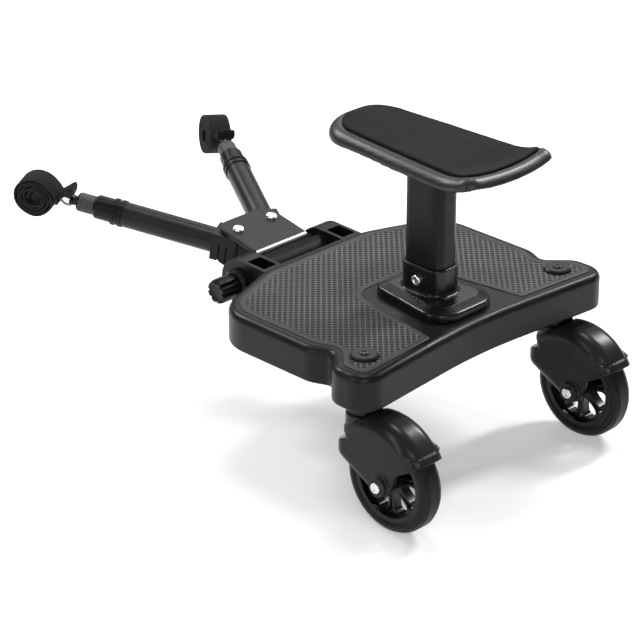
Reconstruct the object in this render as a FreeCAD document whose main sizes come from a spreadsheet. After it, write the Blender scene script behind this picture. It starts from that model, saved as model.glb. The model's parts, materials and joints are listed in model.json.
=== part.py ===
"""Buggy board with a saddle seat: a stand-on platform on two casters that hangs behind a pram.

The model is drawn from the casters' swivel line, +Y towards the pram, +Z up, and every piece is then
moved so that the origin lies on the floor under the middle of the whole object.
"""
import FreeCAD, Part
import math
import os
import re

import Sketcher

Vector = FreeCAD.Vector
Rotation = FreeCAD.Rotation
Placement = FreeCAD.Placement

# Driving dimensions in millimetres and degrees
SIZES = {
    "running_gap": 0.05,
    "seat_gap": 0.02,
    "free_gap": 0.4,
    "deck_top": 168.3,
    "deck_thick": 38.0,
    "deck_wall": 4.0,
    "deck_skin": 7.0,
    "deck_overhang": 23.0,
    "deck_front": 211.6,
    "deck_front_flat": 72.0,
    "deck_corner_drop": 33.6,
    "deck_corner_radius": 48.0,
    "deck_waist": 52.0,
    "deck_notch_depth": 9.5,
    "deck_notch": 31.0,
    "ear_reach": 38.0,
    "ear_front": 6.0,
    "ear_rear": 38.5,
    "rear_edge": 22.0,
    "front_bend": 60.0,
    "waist_bend": 30.0,
    "notch_bend": 9.0,
    "ear_front_bend": 24.0,
    "ear_rear_bend": 22.0,
    "rear_bend": 600.0,
    "deck_top_round": 8.0,
    "deck_foot_round": 2.5,
    "rib_thick": 2.5,
    "rib_pitch": 52.0,
    "mat_border": 11.0,
    "bay_border": 17.0,
    "bay_round": 26.0,
    "mat_thick": 2.0,
    "mat_proud": 0.8,
    "track": 280.0,
    "trail": 41.4,
    "boss_radius": 18.0,
    "boss_foot": 114.5,
    "bush_radius": 9.0,
    "bush_flange_radius": 13.0,
    "bush_flange": 2.0,
    "stem_radius": 6.0,
    "stem_foot": 97.0,
    "cap_radius": 13.5,
    "cap_thick": 3.2,
    "cap_screw_radius": 2.5,
    "cap_screw_head": 4.6,
    "cap_screw_length": 16.0,
    "wheel_radius": 53.2,
    "tyre_width": 25.0,
    "tyre_shoulder": 6.5,
    "rim_radius": 41.5,
    "rim_wall": 4.5,
    "rim_width": 22.0,
    "web_thick": 10.0,
    "hub_radius": 9.5,
    "hub_width": 28.0,
    "spoke_count": 7,
    "leaf_half": 8.6,
    "leaf_lean": 0.4,
    "rib_slit": 2.8,
    "wheel_gap": 2.8,
    "axle_radius": 4.0,
    "axle_head_radius": 5.2,
    "axle_head": 2.2,
    "axle_bush_wall": 1.6,
    "cheek_thick": 6.0,
    "axle_boss_radius": 10.5,
    "axle_boss": 4.5,
    "hood_rise": 13.0,
    "hood_round": 15.0,
    "hood_span": 104.0,
    "hood_lean": 7.0,
    "hood_ahead": 9.0,
    "hood_root": 24.0,
    "hood_relief": 2.0,
    "lip_rise": 1.6,
    "lip_span": 7.0,
    "cheek_front": 12.0,
    "cheek_brow": 27.0,
    "cheek_step": 3.0,
    "cheek_chin": 11.0,
    "cheek_rear": 40.0,
    "cheek_heel": 21.0,
    "cheek_cut": 14.0,
    "cheek_round": 13.0,
    "fork_top_gap": 0.4,
    "seat_centre": 46.0,
    "flange_wall": 8.0,
    "flange_rise": 4.0,
    "flange_slope": 12.0,
    "flange_round": 3.0,
    "flange_front": 97.0,
    "flange_rear": -11.0,
    "flange_front_half": 29.0,
    "flange_rear_half": 47.0,
    "flange_nose_round": 16.0,
    "flange_tail_round": 27.0,
    "socket_root": 3.5,
    "socket_wall": 2.75,
    "socket_height": 41.0,
    "post_width": 32.0,
    "post_length": 49.0,
    "post_round": 11.0,
    "post_wall": 3.0,
    "post_seat": 6.0,
    "seat_bolt_height": 25.7,
    "seat_bolt_radius": 3.0,
    "seat_bolt_head": 5.5,
    "seat_bolt_head_thick": 2.4,
    "saddle_low": 333.0,
    "saddle_nose_rise": 2.5,
    "saddle_knee": -16.0,
    "saddle_curl": 84.0,
    "saddle_thick": 12.5,
    "saddle_front": 159.0,
    "saddle_middle": 48.0,
    "saddle_rear": 57.0,
    "saddle_bow": 6.0,
    "saddle_front_half": 45.0,
    "saddle_middle_half": 54.0,
    "saddle_rear_half": 60.5,
    "saddle_nose_round": 40.0,
    "saddle_side_round": 200.0,
    "saddle_tail_round": 14.0,
    "saddle_bow_round": 300.0,
    "saddle_round": 7.5,
    "saddle_wall": 3.5,
    "post_plate_thick": 5.0,
    "post_plate_width": 66.0,
    "post_plate_length": 92.0,
    "pad_border": 10.0,
    "pad_thick": 3.2,
    "axle_ahead": 35.4,
    "axle_drop": 26.3,
    "lug_inner": 44.0,
    "lug_outer": 70.0,
    "lug_wall": 4.0,
    "lug_radius": 25.5,
    "lug_pocket": 22.0,
    "lug_fall": 1.0,
    "hinge_bolt_radius": 5.0,
    "hinge_head_radius": 9.0,
    "hinge_head": 6.0,
    "collar_ring_radius": 16.0,
    "collar_ring": 7.5,
    "knob_radius": 13.0,
    "knob_length": 25.0,
    "knob_lobes": 8,
    "knob_flute": 3.0,
    "arm_pitch": 11.0,
    "arm_splay": 28.0,
    "barrel_radius": 21.5,
    "block_half": 37.5,
    "block_low": 20.0,
    "block_high": 15.6,
    "block_neck": 38.0,
    "block_front": 75.0,
    "block_floor": 4.0,
    "block_lap": 5.0,
    "plate_nose_round": 15.0,
    "plate_heel_round": 3.0,
    "web_half": 8.0,
    "cover_rear": 13.0,
    "cover_thick": 4.0,
    "cover_round": 2.0,
    "pivot_half": 23.9,
    "pivot_ahead": 53.5,
    "pivot_radius": 3.0,
    "pivot_head_radius": 6.0,
    "pivot_head": 2.6,
    "knuckle_half": 13.2,
    "knuckle_length": 24.0,
    "knuckle_spigot": 8.0,
    "tube_radius": 13.5,
    "tube_wall": 1.8,
    "tube_length": 101.0,
    "ferrule_radius": 14.6,
    "ferrule_length": 12.0,
    "collar_radius": 12.8,
    "collar_length": 21.0,
    "inner_radius": 10.25,
    "inner_wall": 1.5,
    "inner_clear": 8.0,
    "inner_shown": 17.0,
    "plug_flange": 2.0,
    "tongue_length": 9.0,
    "tongue_half": 6.5,
    "tongue_thick": 4.0,
    "ring_radius": 8.0,
    "ring_wire": 1.5,
    "strap_width": 25.0,
    "strap_thick": 2.0,
    "strap_pitch": 3.2,
    "strap_half_turns": 5,
    "strap_bore": 15.0,
    "strap_drop": 5.0,
    "strap_neck": 3.0,
    "bow_half": 9.0,
    "bow_rise": 8.2,
    "bow_thick": 9.0,
    "neck_half": 6.0,
    "neck_thick": 8.0,
}

doc = FreeCAD.newDocument("BuggyBoard")


def fill_sheet():
    """Spreadsheet with one aliased cell for each driving dimension."""
    sheet = doc.addObject("Spreadsheet::Sheet", "Sizes")
    for row, (alias, value) in enumerate(SIZES.items(), start=1):
        sheet.set(f"A{row}", alias.replace("_", " "))
        sheet.set(f"B{row}", str(value))
        sheet.setAlias(f"B{row}", alias)
    doc.recompute()
    return sheet


SHEET = fill_sheet()


class Reader:
    """Reads a size from the sheet by its name."""

    def __getattr__(self, alias):
        return float(SHEET.get(alias))


size = Reader()
WORD = re.compile(r"[a-z_]+")


def bound(text):
    """Expression on the sheet's cells, from a formula of their names."""
    return WORD.sub(lambda word: "Sizes." + word.group() if word.group() in SIZES else word.group(), text)


# Helpers for bodies, sketches and features

PARTS = []
SIDES = {"left": -1, "right": 1}


def new_body(label):
    """Body of one sub-part, kept for the export."""
    body = doc.addObject("PartDesign::Body", label)
    body.Label = label
    PARTS.append(body)
    return body


def new_sketch(body, role, offset=None):
    """Sketch on one of the body's origin planes, lifted along the plane's normal."""
    sketch = body.newObject("Sketcher::SketchObject", body.Label + "_sketch")
    plane = next(item for item in body.Origin.OriginFeatures if item.Role == role)
    sketch.AttachmentSupport = [(plane, "")]
    sketch.MapMode = "FlatFace"
    if offset:
        sketch.setExpression("AttachmentOffset.Base.z", bound(offset))
    return sketch


def fix_point(sketch, geometry, vertex, x, y):
    """Hold a point of the sketch at two formulas."""
    for kind, formula in (("DistanceX", x), ("DistanceY", y)):
        index = sketch.addConstraint(Sketcher.Constraint(kind, -1, 1, geometry, vertex, 1.0))
        sketch.setExpression(f"Constraints[{index}]", bound(formula))


def add_circle(sketch, radius, x="0", y="0"):
    """Circle with its radius and centre bound to formulas."""
    circle = sketch.addGeometry(Part.Circle(Vector(1, 1, 0), Vector(0, 0, 1), 1.0))
    index = sketch.addConstraint(Sketcher.Constraint("Radius", circle, 1.0))
    sketch.setExpression(f"Constraints[{index}]", bound(radius))
    fix_point(sketch, circle, 3, x, y)


def add_polygon(sketch, points):
    """Closed polygon whose corners are bound to formulas."""
    count = len(points)
    turn = 2 * math.pi / count
    places = [Vector(10 * math.cos(turn * i), 10 * math.sin(turn * i), 0) for i in range(count)]
    first = sketch.GeometryCount
    for i in range(count):
        sketch.addGeometry(Part.LineSegment(places[i], places[(i + 1) % count]))
    for i in range(count):
        following = first + (i + 1) % count
        sketch.addConstraint(Sketcher.Constraint("Coincident", first + i, 2, following, 1))
    for i, (x, y) in enumerate(points):
        fix_point(sketch, first + i, 1, x, y)


def add_rectangle(sketch, low, high):
    """Rectangle between two corners given as formulas."""
    (x0, y0), (x1, y1) = low, high
    add_polygon(sketch, [(x0, y0), (x1, y0), (x1, y1), (x0, y1)])


def add_wire(sketch, wire):
    """Copy the lines and arcs of a closed wire into the sketch."""
    for edge in wire.OrderedEdges:
        ends = [vertex.Point for vertex in edge.Vertexes]
        if isinstance(edge.Curve, Part.Line):
            sketch.addGeometry(Part.LineSegment(ends[0], ends[1]))
        elif len(ends) == 1:
            sketch.addGeometry(edge.Curve)
        else:
            middle = edge.valueAt((edge.FirstParameter + edge.LastParameter) / 2)
            sketch.addGeometry(Part.Arc(ends[0], middle, ends[1]))


def feature(body, kind, sketch, length=None, both=False, back=False):
    """Pad or pocket of a sketch, to a bound length, or right through both ways without one."""
    made = body.newObject("PartDesign::" + kind, body.Label + "_" + kind.lower())
    made.Profile = sketch
    made.Reversed = back
    if both:
        made.SideType = "Symmetric"
    if length is None:
        made.Type = "ThroughAll"
    else:
        made.setExpression("Length", bound(length))
    sketch.Visibility = False
    doc.recompute()
    return made


def round_edges(body, radius, chosen, kind="Fillet"):
    """Fillet or chamfer the edges of the body's last feature that a test picks."""
    base = body.Tip
    names = [f"Edge{i}" for i, edge in enumerate(base.Shape.Edges, start=1) if chosen(edge)]
    made = body.newObject("PartDesign::" + kind, body.Label + "_" + kind.lower())
    made.Base = (base, names)
    made.setExpression("Radius" if kind == "Fillet" else "Size", bound(radius))
    doc.recompute()
    return made


def polar(body, source, axis_role, count):
    """Repeat a feature of the body in a full circle about an origin axis."""
    made = body.newObject("PartDesign::PolarPattern", body.Label + "_pattern")
    made.Originals = [source]
    axis = next(item for item in body.Origin.OriginFeatures if item.Role == axis_role)
    made.Axis = (axis, [""])
    made.Angle = 360
    made.setExpression("Occurrences", bound(count))
    body.Tip = made
    doc.recompute()
    return made


def turned(label, role, points, axis):
    """Body turned from a half profile: points are (radius, along) or (along, radius) formulas."""
    body = new_body(label)
    revolve(body, role, points, axis)
    return body


def revolve(body, role, points, axis):
    """Full revolution of a bound polygon about the sketch's own H_Axis or V_Axis."""
    sketch = new_sketch(body, role)
    add_polygon(sketch, points)
    made = body.newObject("PartDesign::Revolution", body.Label + "_turn")
    made.Profile = sketch
    made.ReferenceAxis = (sketch, [axis])
    made.Angle = 360
    sketch.Visibility = False
    doc.recompute()
    return made


def sleeve(outer, inner, start, end):
    """Half profile of a tube: (radius, along) corners."""
    return [(inner, start), (outer, start), (outer, end), (inner, end)]


def rounded(corners):
    """Closed wire through (x, y, radius) corners, each rounded by a tangent arc."""
    points = [Vector(x, y, 0) for x, y, radius in corners]
    stretches = []
    for i, (x, y, radius) in enumerate(corners):
        arriving = (points[i] - points[i - 1]).normalize()
        leaving = (points[(i + 1) % len(points)] - points[i]).normalize()
        half = arriving.getAngle(leaving) / 2
        reach = radius * math.tan(half)
        inward = (leaving - arriving).normalize()
        middle = points[i] + inward * (radius / math.cos(half) - radius)
        stretches.append((points[i] - arriving * reach, middle, points[i] + leaving * reach))
    edges = []
    for i, (start, middle, end) in enumerate(stretches):
        edges.append(Part.LineSegment(stretches[i - 1][2], start).toShape())
        if corners[i][2] > 0:
            edges.append(Part.Arc(start, middle, end).toShape())
    return Part.Wire(edges)


def both_sides(half):
    """Outline corners of the right half, followed by their mirror image."""
    mirrored = [(-x, y, radius) for x, y, radius in reversed(half) if x > 0]
    return half + mirrored


def at_level(edge, level):
    """True for an edge that lies in a level plane."""
    box = edge.BoundBox
    return abs(box.ZMin - level) < 0.01 and abs(box.ZMax - level) < 0.01


# Places that several pieces share

deck_bottom = size.deck_top - size.deck_thick
caster_x = size.track / 2
deck_half_width = caster_x + size.deck_overhang
axle_y = size.deck_front + size.axle_ahead
axle_height = size.deck_top - size.axle_drop
HINGE_LEVEL = "deck_top - axle_drop"
axle_frame = Placement(Vector(0, axle_y, axle_height), Rotation(Vector(1, 0, 0), size.arm_pitch))


def caster_frame(side):
    """Frame of a caster: its swivel axis on the floor."""
    return Placement(Vector(side * caster_x, 0, 0), Rotation())


def wheel_frame(side):
    """Frame of a wheel: its centre, behind the swivel axis."""
    return caster_frame(side) * Placement(Vector(0, -size.trail, size.wheel_radius), Rotation())


def arm_frame(side):
    """Frame of an arm: its pivot screw, +Y along the arm."""
    pivot = Vector(side * size.pivot_half, size.pivot_ahead, 0)
    return axle_frame * Placement(pivot, Rotation(Vector(0, 0, 1), -side * size.arm_splay))


FRAMES = {}


def deck_corners():
    """Outline of the deck: straight front, round shoulders, waist, and ears over the casters."""
    corner_y = size.deck_front - size.deck_corner_drop
    notch_x = deck_half_width - size.deck_notch_depth
    ear_x = caster_x + size.ear_reach
    half = [
        (size.deck_front_flat, size.deck_front, size.front_bend),
        (deck_half_width, corner_y, size.deck_corner_radius),
        (deck_half_width, size.deck_waist, size.waist_bend),
        (notch_x, size.deck_notch, size.notch_bend),
        (ear_x, size.ear_front, size.ear_front_bend),
        (ear_x, -size.ear_rear, size.ear_rear_bend),
        (0.0, -size.rear_edge, size.rear_bend),
    ]
    return both_sides(half)


def seat_flange_corners():
    """Outline of the seat base's flange, wide and round at the rear."""
    half = [
        (size.flange_front_half, size.flange_front, size.flange_nose_round),
        (size.flange_rear_half, size.flange_rear, size.flange_tail_round),
    ]
    return both_sides(half)


def build_deck():
    """Hollow moulded deck with ribs, caster bosses and the hinge lugs."""
    outline = rounded(deck_corners())
    body = new_body("deck_shell")
    sketch = new_sketch(body, "XY_Plane", "deck_top - deck_thick")
    add_wire(sketch, outline)
    feature(body, "Pad", sketch, "deck_thick")
    round_edges(body, "deck_top_round", lambda edge: at_level(edge, size.deck_top))
    round_edges(body, "deck_foot_round", lambda edge: at_level(edge, deck_bottom))

    sketch = new_sketch(body, "XY_Plane", "deck_top - deck_thick")
    add_wire(sketch, outline.makeOffset2D(-size.deck_wall))
    feature(body, "Pocket", sketch, "deck_thick - deck_skin", back=True)

    sketch = new_sketch(body, "XY_Plane", "boss_foot")
    for side in ("", "-"):
        add_circle(sketch, "boss_radius", side + "track / 2")
    feature(body, "Pad", sketch, "deck_top - deck_skin / 2 - boss_foot")

    sketch = new_sketch(body, "XY_Plane", "deck_top - deck_thick + deck_foot_round")
    add_ribs(sketch, outline.makeOffset2D(-size.deck_wall / 2))
    feature(body, "Pad", sketch, "deck_thick - deck_skin / 2 - deck_foot_round")

    sketch = new_sketch(body, "YZ_Plane")
    add_wire(sketch, lug_outline())
    feature(body, "Pad", sketch, "2 * lug_outer", both=True)
    sketch = new_sketch(body, "YZ_Plane")
    trough_low = ("deck_front", HINGE_LEVEL + " - 2 * lug_radius")
    add_rectangle(sketch, trough_low, ("deck_front + axle_ahead + 2 * lug_radius", "deck_top + lug_radius"))
    feature(body, "Pocket", sketch, "2 * lug_inner", both=True)
    sketch = new_sketch(body, "XY_Plane", "deck_top")
    for sign in ("", "-"):
        low = (sign + "(lug_inner + lug_wall)", "deck_front + lug_wall / 2")
        high = (sign + "(lug_outer - lug_wall)", "deck_front + axle_ahead - hinge_bolt_radius - lug_wall")
        add_rectangle(sketch, low, high)
    feature(body, "Pocket", sketch, "lug_pocket")
    sketch = new_sketch(body, "YZ_Plane")
    add_circle(sketch, "hinge_bolt_radius + seat_gap", "deck_front + axle_ahead", HINGE_LEVEL)
    feature(body, "Pocket", sketch, "3 * lug_outer", both=True)

    sketch = new_sketch(body, "XY_Plane")
    for side in ("", "-"):
        add_circle(sketch, "bush_radius", side + "track / 2")
    feature(body, "Pocket", sketch, "2 * deck_top", both=True)

    sketch = new_sketch(body, "XY_Plane", "deck_top")
    add_wire(sketch, mat_outline(0.0))
    feature(body, "Pocket", sketch, "mat_thick - mat_proud")


def add_ribs(sketch, limit):
    """Lattice of ribs that end inside the deck's wall."""
    inside = Part.Face(limit)
    box = limit.BoundBox
    grid = []
    across = int(box.XMax // size.rib_pitch)
    for step in range(-across, across + 1):
        place = step * size.rib_pitch
        grid.append((Vector(place, box.YMin, 0), Vector(place, box.YMax, 0), Vector(1, 0, 0)))
    along = int((box.YMax - box.YMin) // size.rib_pitch)
    for step in range(1, along + 1):
        place = box.YMin + step * size.rib_pitch
        grid.append((Vector(box.XMin, place, 0), Vector(box.XMax, place, 0), Vector(0, 1, 0)))
    lattice = None
    for low, high, sideways in grid:
        shift = sideways * (size.rib_thick / 2)
        corners = [low - shift, low + shift, high + shift, high - shift]
        rib = Part.Face(Part.makePolygon(corners + corners[:1])).common(inside)
        lattice = rib if lattice is None else lattice.fuse(rib)
    for face in lattice.removeSplitter().Faces:
        for wire in face.Wires:
            add_wire(sketch, wire)


def lug_outline():
    """Side view of the hinge lugs: from the deck's front wall round the hinge axle."""
    top = axle_height + size.lug_radius
    foot = axle_height - size.lug_radius
    root = size.deck_front - size.deck_wall
    corners = [Vector(root, top - size.lug_fall, 0), Vector(axle_y, top, 0), Vector(axle_y, foot, 0),
               Vector(root, deck_bottom + size.deck_foot_round, 0)]
    nose = Part.Arc(corners[1], Vector(axle_y + size.lug_radius, axle_height, 0), corners[2])
    edges = [Part.LineSegment(corners[0], corners[1]).toShape(), nose.toShape(),
             Part.LineSegment(corners[2], corners[3]).toShape(),
             Part.LineSegment(corners[3], corners[0]).toShape()]
    return Part.Wire(edges)


def mat_outline(gap):
    """Outline of the grip mat: inside the deck's rim, open at the rear round the seat base."""
    inset = rounded(deck_corners()).makeOffset2D(-size.mat_border - gap)
    plate = Part.Face(inset)
    bay_half = size.flange_front_half + size.bay_border + gap
    bay_front = size.flange_front + size.bay_border / 2 + gap
    bay_tail = size.ear_rear + size.bay_border
    bay_wide = size.flange_rear_half + 1.5 * size.bay_border + gap
    bay = rounded(both_sides([(bay_half, bay_front, size.bay_round), (bay_wide, -bay_tail, 0.0)]))
    return plate.cut(Part.Face(bay)).Faces[0].OuterWire


def build_mat():
    """Rubber grip mat lying in the deck's recess, with holes for the caster caps."""
    body = new_body("grip_mat")
    sketch = new_sketch(body, "XY_Plane", "deck_top - mat_thick + mat_proud")
    add_wire(sketch, mat_outline(size.free_gap))
    feature(body, "Pad", sketch, "mat_thick")
    sketch = new_sketch(body, "XY_Plane", "deck_top")
    for side in ("", "-"):
        add_circle(sketch, "cap_radius + 2 * free_gap", side + "track / 2")
    feature(body, "Pocket", sketch, "4 * mat_thick", both=True)


def post_outline(border):
    """Plan outline of the seat post, a border larger or smaller all round."""
    half_width = size.post_width / 2 + border
    half_length = size.post_length / 2 + border
    radius = size.post_round + border
    return rounded(both_sides([(half_width, size.seat_centre + half_length, radius),
                               (half_width, size.seat_centre - half_length, radius)]))


def build_seat_base():
    """Domed flange with the socket that holds the seat post."""
    body = new_body("seat_base")
    sketch = new_sketch(body, "XY_Plane", "deck_top")
    add_wire(sketch, rounded(seat_flange_corners()))
    feature(body, "Pad", sketch, "flange_wall + flange_rise")
    level = size.deck_top + size.flange_wall + size.flange_rise
    slope = round_edges(body, "flange_rise", lambda edge: at_level(edge, level), "Chamfer")
    slope.ChamferType = "Two distances"
    slope.setExpression("Size2", bound("flange_slope"))
    doc.recompute()
    shoulder = size.deck_top + size.flange_wall
    round_edges(body, "flange_round", lambda edge: at_level(edge, shoulder))
    sketch = new_sketch(body, "XY_Plane", "deck_top")
    socket = post_outline(size.socket_wall)
    add_wire(sketch, socket)
    feature(body, "Pad", sketch, "socket_height")
    top = size.deck_top + size.socket_height
    reach = socket.BoundBox
    reach.enlarge(size.seat_gap)

    def at_root(edge):
        middle = edge.CenterOfMass
        return at_level(edge, level) and reach.isInside(Vector(middle.x, middle.y, 0))

    round_edges(body, "socket_root", at_root)
    round_edges(body, "post_wall / 2", lambda edge: at_level(edge, top))
    sketch = new_sketch(body, "XY_Plane", "deck_top + post_seat")
    add_wire(sketch, post_outline(size.running_gap))
    feature(body, "Pocket", sketch, "2 * socket_height", back=True)
    sketch = new_sketch(body, "YZ_Plane")
    add_circle(sketch, "seat_bolt_radius + running_gap", "seat_centre", "deck_top + seat_bolt_height")
    feature(body, "Pocket", sketch, "2 * post_length", both=True)


def saddle_outline():
    """Plan outline of the saddle: round nose, widening sides and a bowed tail."""
    half = [
        (size.saddle_front_half, size.saddle_front, size.saddle_nose_round),
        (size.saddle_middle_half, size.saddle_middle, size.saddle_side_round),
        (size.saddle_rear_half, -size.saddle_rear, size.saddle_tail_round),
        (0.0, -size.saddle_rear - size.saddle_bow, size.saddle_bow_round),
    ]
    return rounded(both_sides(half))


def saddle_profile(drop, close):
    """Side view of the saddle's top, lowered by a drop: a long rise to the nose and a curled tail.

    The profile is closed by an upright at each end and a level line at the height "close".
    """
    reach = size.saddle_front + size.saddle_thick
    slope = size.saddle_nose_rise / (size.saddle_front - size.saddle_knee)
    lean = math.atan(slope)
    knee = Vector(size.saddle_knee, size.saddle_low, 0)
    centre = knee + Vector(-math.sin(lean), math.cos(lean), 0) * size.saddle_curl
    radius = size.saddle_curl + drop
    start = centre + Vector(math.sin(lean), -math.cos(lean), 0) * radius
    nose = start + Vector(1, slope, 0) * (reach - start.x)
    sweep = math.asin((size.saddle_rear + size.saddle_bow + size.saddle_thick + centre.x) / radius)
    halfway = centre + Vector(-math.sin(sweep / 2), -math.cos(sweep / 2), 0) * radius
    tail = centre + Vector(-math.sin(sweep), -math.cos(sweep), 0) * radius
    corners = [nose, Vector(nose.x, close, 0), Vector(tail.x, close, 0), tail]
    edges = [Part.LineSegment(start, nose).toShape(), Part.Arc(start, halfway, tail).toShape()]
    for first, second in zip(corners, corners[1:]):
        edges.append(Part.LineSegment(first, second).toShape())
    return Part.Wire(Part.__sortEdges__(edges))


def saddle_slab(body, outline, top_drop, bottom_drop):
    """Pad an outline of the saddle and trim it between two side-view profiles."""
    sketch = new_sketch(body, "XY_Plane", "saddle_low - 3 * saddle_thick")
    add_wire(sketch, outline)
    feature(body, "Pad", sketch, "6 * saddle_thick")
    lid = size.saddle_low + 4 * size.saddle_thick
    base = size.saddle_low - 4 * size.saddle_thick
    for drop, close in ((top_drop, lid), (bottom_drop, base)):
        sketch = new_sketch(body, "YZ_Plane")
        add_wire(sketch, saddle_profile(drop, close))
        feature(body, "Pocket", sketch, "6 * saddle_rear_half", both=True)


def above(edge, level_of):
    """True for an edge whose middle lies above a side-view line."""
    middle = edge.CenterOfMass
    return middle.z > level_of(middle.y)


def saddle_line(drop):
    """Height of the saddle's side-view profile at a place along the seat."""
    slope = size.saddle_nose_rise / (size.saddle_front - size.saddle_knee)
    lean = math.atan(slope)
    centre_y = size.saddle_knee - math.sin(lean) * size.saddle_curl
    centre_z = size.saddle_low + math.cos(lean) * size.saddle_curl
    radius = size.saddle_curl + drop
    start_y = centre_y + math.sin(lean) * radius
    start_z = centre_z - math.cos(lean) * radius

    def height(y):
        if y > start_y:
            return start_z + slope * (y - start_y)
        return centre_z - math.sqrt(radius ** 2 - (y - centre_y) ** 2)

    return height


def build_saddle():
    """Moulded saddle, hollow below, and the foam pad on top of it."""
    shell = new_body("seat_shell")
    outline = saddle_outline()
    saddle_slab(shell, outline, 0.0, size.saddle_thick)
    rim_line = saddle_line(size.saddle_thick / 4)
    round_edges(shell, "saddle_round", lambda edge: above(edge, rim_line))
    sketch = new_sketch(shell, "XY_Plane", "saddle_low - 3 * saddle_thick")
    half_width = "(post_plate_width / 2 + free_gap)"
    half_length = "(post_plate_length / 2 + free_gap)"
    low = ("-" + half_width, "seat_centre - " + half_length)
    add_rectangle(sketch, low, (half_width, "seat_centre + " + half_length))
    feature(shell, "Pocket", sketch, "3 * saddle_thick - saddle_wall", back=True)

    pad = new_body("seat_pad")
    saddle_slab(pad, outline.makeOffset2D(-size.pad_border), -size.pad_thick, 0.0)
    pad_line = saddle_line(-size.pad_thick * 3 / 4)
    round_edges(pad, "pad_thick * 0.4", lambda edge: above(edge, pad_line))


def build_post():
    """Hollow seat post with a plate on top that sits in the saddle's underside."""
    body = new_body("seat_post")
    sketch = new_sketch(body, "XY_Plane", "deck_top + post_seat")
    add_wire(sketch, post_outline(0.0))
    plate_top = "saddle_low - saddle_wall - post_plate_thick"
    feature(body, "Pad", sketch, plate_top + " - deck_top - post_seat")
    sketch = new_sketch(body, "XY_Plane", plate_top)
    low = ("-post_plate_width / 2", "seat_centre - post_plate_length / 2")
    add_rectangle(sketch, low, ("post_plate_width / 2", "seat_centre + post_plate_length / 2"))
    feature(body, "Pad", sketch, "post_plate_thick - seat_gap")
    sketch = new_sketch(body, "XY_Plane", "deck_top + post_seat")
    add_wire(sketch, post_outline(-size.post_wall))
    feature(body, "Pocket", sketch, plate_top + " - deck_top - post_seat", back=True)
    sketch = new_sketch(body, "YZ_Plane")
    add_circle(sketch, "seat_bolt_radius + running_gap", "seat_centre", "deck_top + seat_bolt_height")
    feature(body, "Pocket", sketch, "2 * post_length", both=True)


def seat_bolt_frame():
    """Frame of the bolt that pins the post in its socket, along X."""
    return Placement(Vector(0, size.seat_centre, size.deck_top + size.seat_bolt_height), Rotation())


def build_seat_bolt():
    """Cross bolt and nut of the seat post."""
    side = "(post_width / 2 + socket_wall)"
    bolt = turned("seat_bolt", "XY_Plane", [
        ("-" + side + " - seat_bolt_head_thick", "0"),
        ("-" + side + " - seat_bolt_head_thick", "seat_bolt_head"),
        ("-" + side, "seat_bolt_head"),
        ("-" + side, "seat_bolt_radius"),
        (side + " + seat_bolt_head_thick", "seat_bolt_radius"),
        (side + " + seat_bolt_head_thick", "0"),
    ], "H_Axis")
    nut = turned("seat_bolt_nut", "XY_Plane", [
        (side, "seat_bolt_radius + seat_gap"),
        (side, "seat_bolt_head"),
        (side + " + seat_bolt_head_thick", "seat_bolt_head"),
        (side + " + seat_bolt_head_thick", "seat_bolt_radius + seat_gap"),
    ], "H_Axis")
    FRAMES[bolt.Name] = seat_bolt_frame()
    FRAMES[nut.Name] = seat_bolt_frame()


# Casters and wheels

def cheek_outline():
    """Side view of the fork's cheeks, from the wheel's centre: column, hood and axle boss."""
    boss = size.axle_boss_radius
    front = size.trail + size.boss_radius + size.cheek_step
    return rounded([
        (front, size.cheek_chin, size.cheek_front),
        (front, size.cheek_brow, 0.0),
        (0.0, size.wheel_radius, 0.0),
        (-size.cheek_rear, size.cheek_rear, 0.0),
        (-size.cheek_heel, size.cheek_heel, size.cheek_cut),
        (-boss, -boss, boss * 0.9),
        (boss, -boss, boss * 0.9),
        (size.trail, 0.0, 0.0),
    ])


def hood_profile(rise, root):
    """Cross-section of the hood, upright over the axle: flat sides and a round back."""
    half = size.tyre_width / 2 + size.wheel_gap + size.cheek_thick
    crown = size.wheel_radius + rise
    return rounded([(half, root, 0.0), (half, crown, size.hood_round), (-half, crown, size.hood_round),
                    (-half, root, 0.0)])


def hood(body, profile, span, lean):
    """Hood swept over a span of degrees about a line ahead of the axle, leaning back from the upright."""
    sketch = new_sketch(body, "XZ_Plane")
    sketch.AttachmentOffset = Placement(Vector(0, 0, -size.hood_ahead), Rotation(Vector(1, 0, 0), lean))
    add_wire(sketch, profile)
    made = body.newObject("PartDesign::Revolution", body.Label + "_hood")
    made.Profile = sketch
    made.ReferenceAxis = (sketch, ["H_Axis"])
    made.Midplane = True
    made.setExpression("Angle", bound(span))
    sketch.Visibility = False
    doc.recompute()


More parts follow.
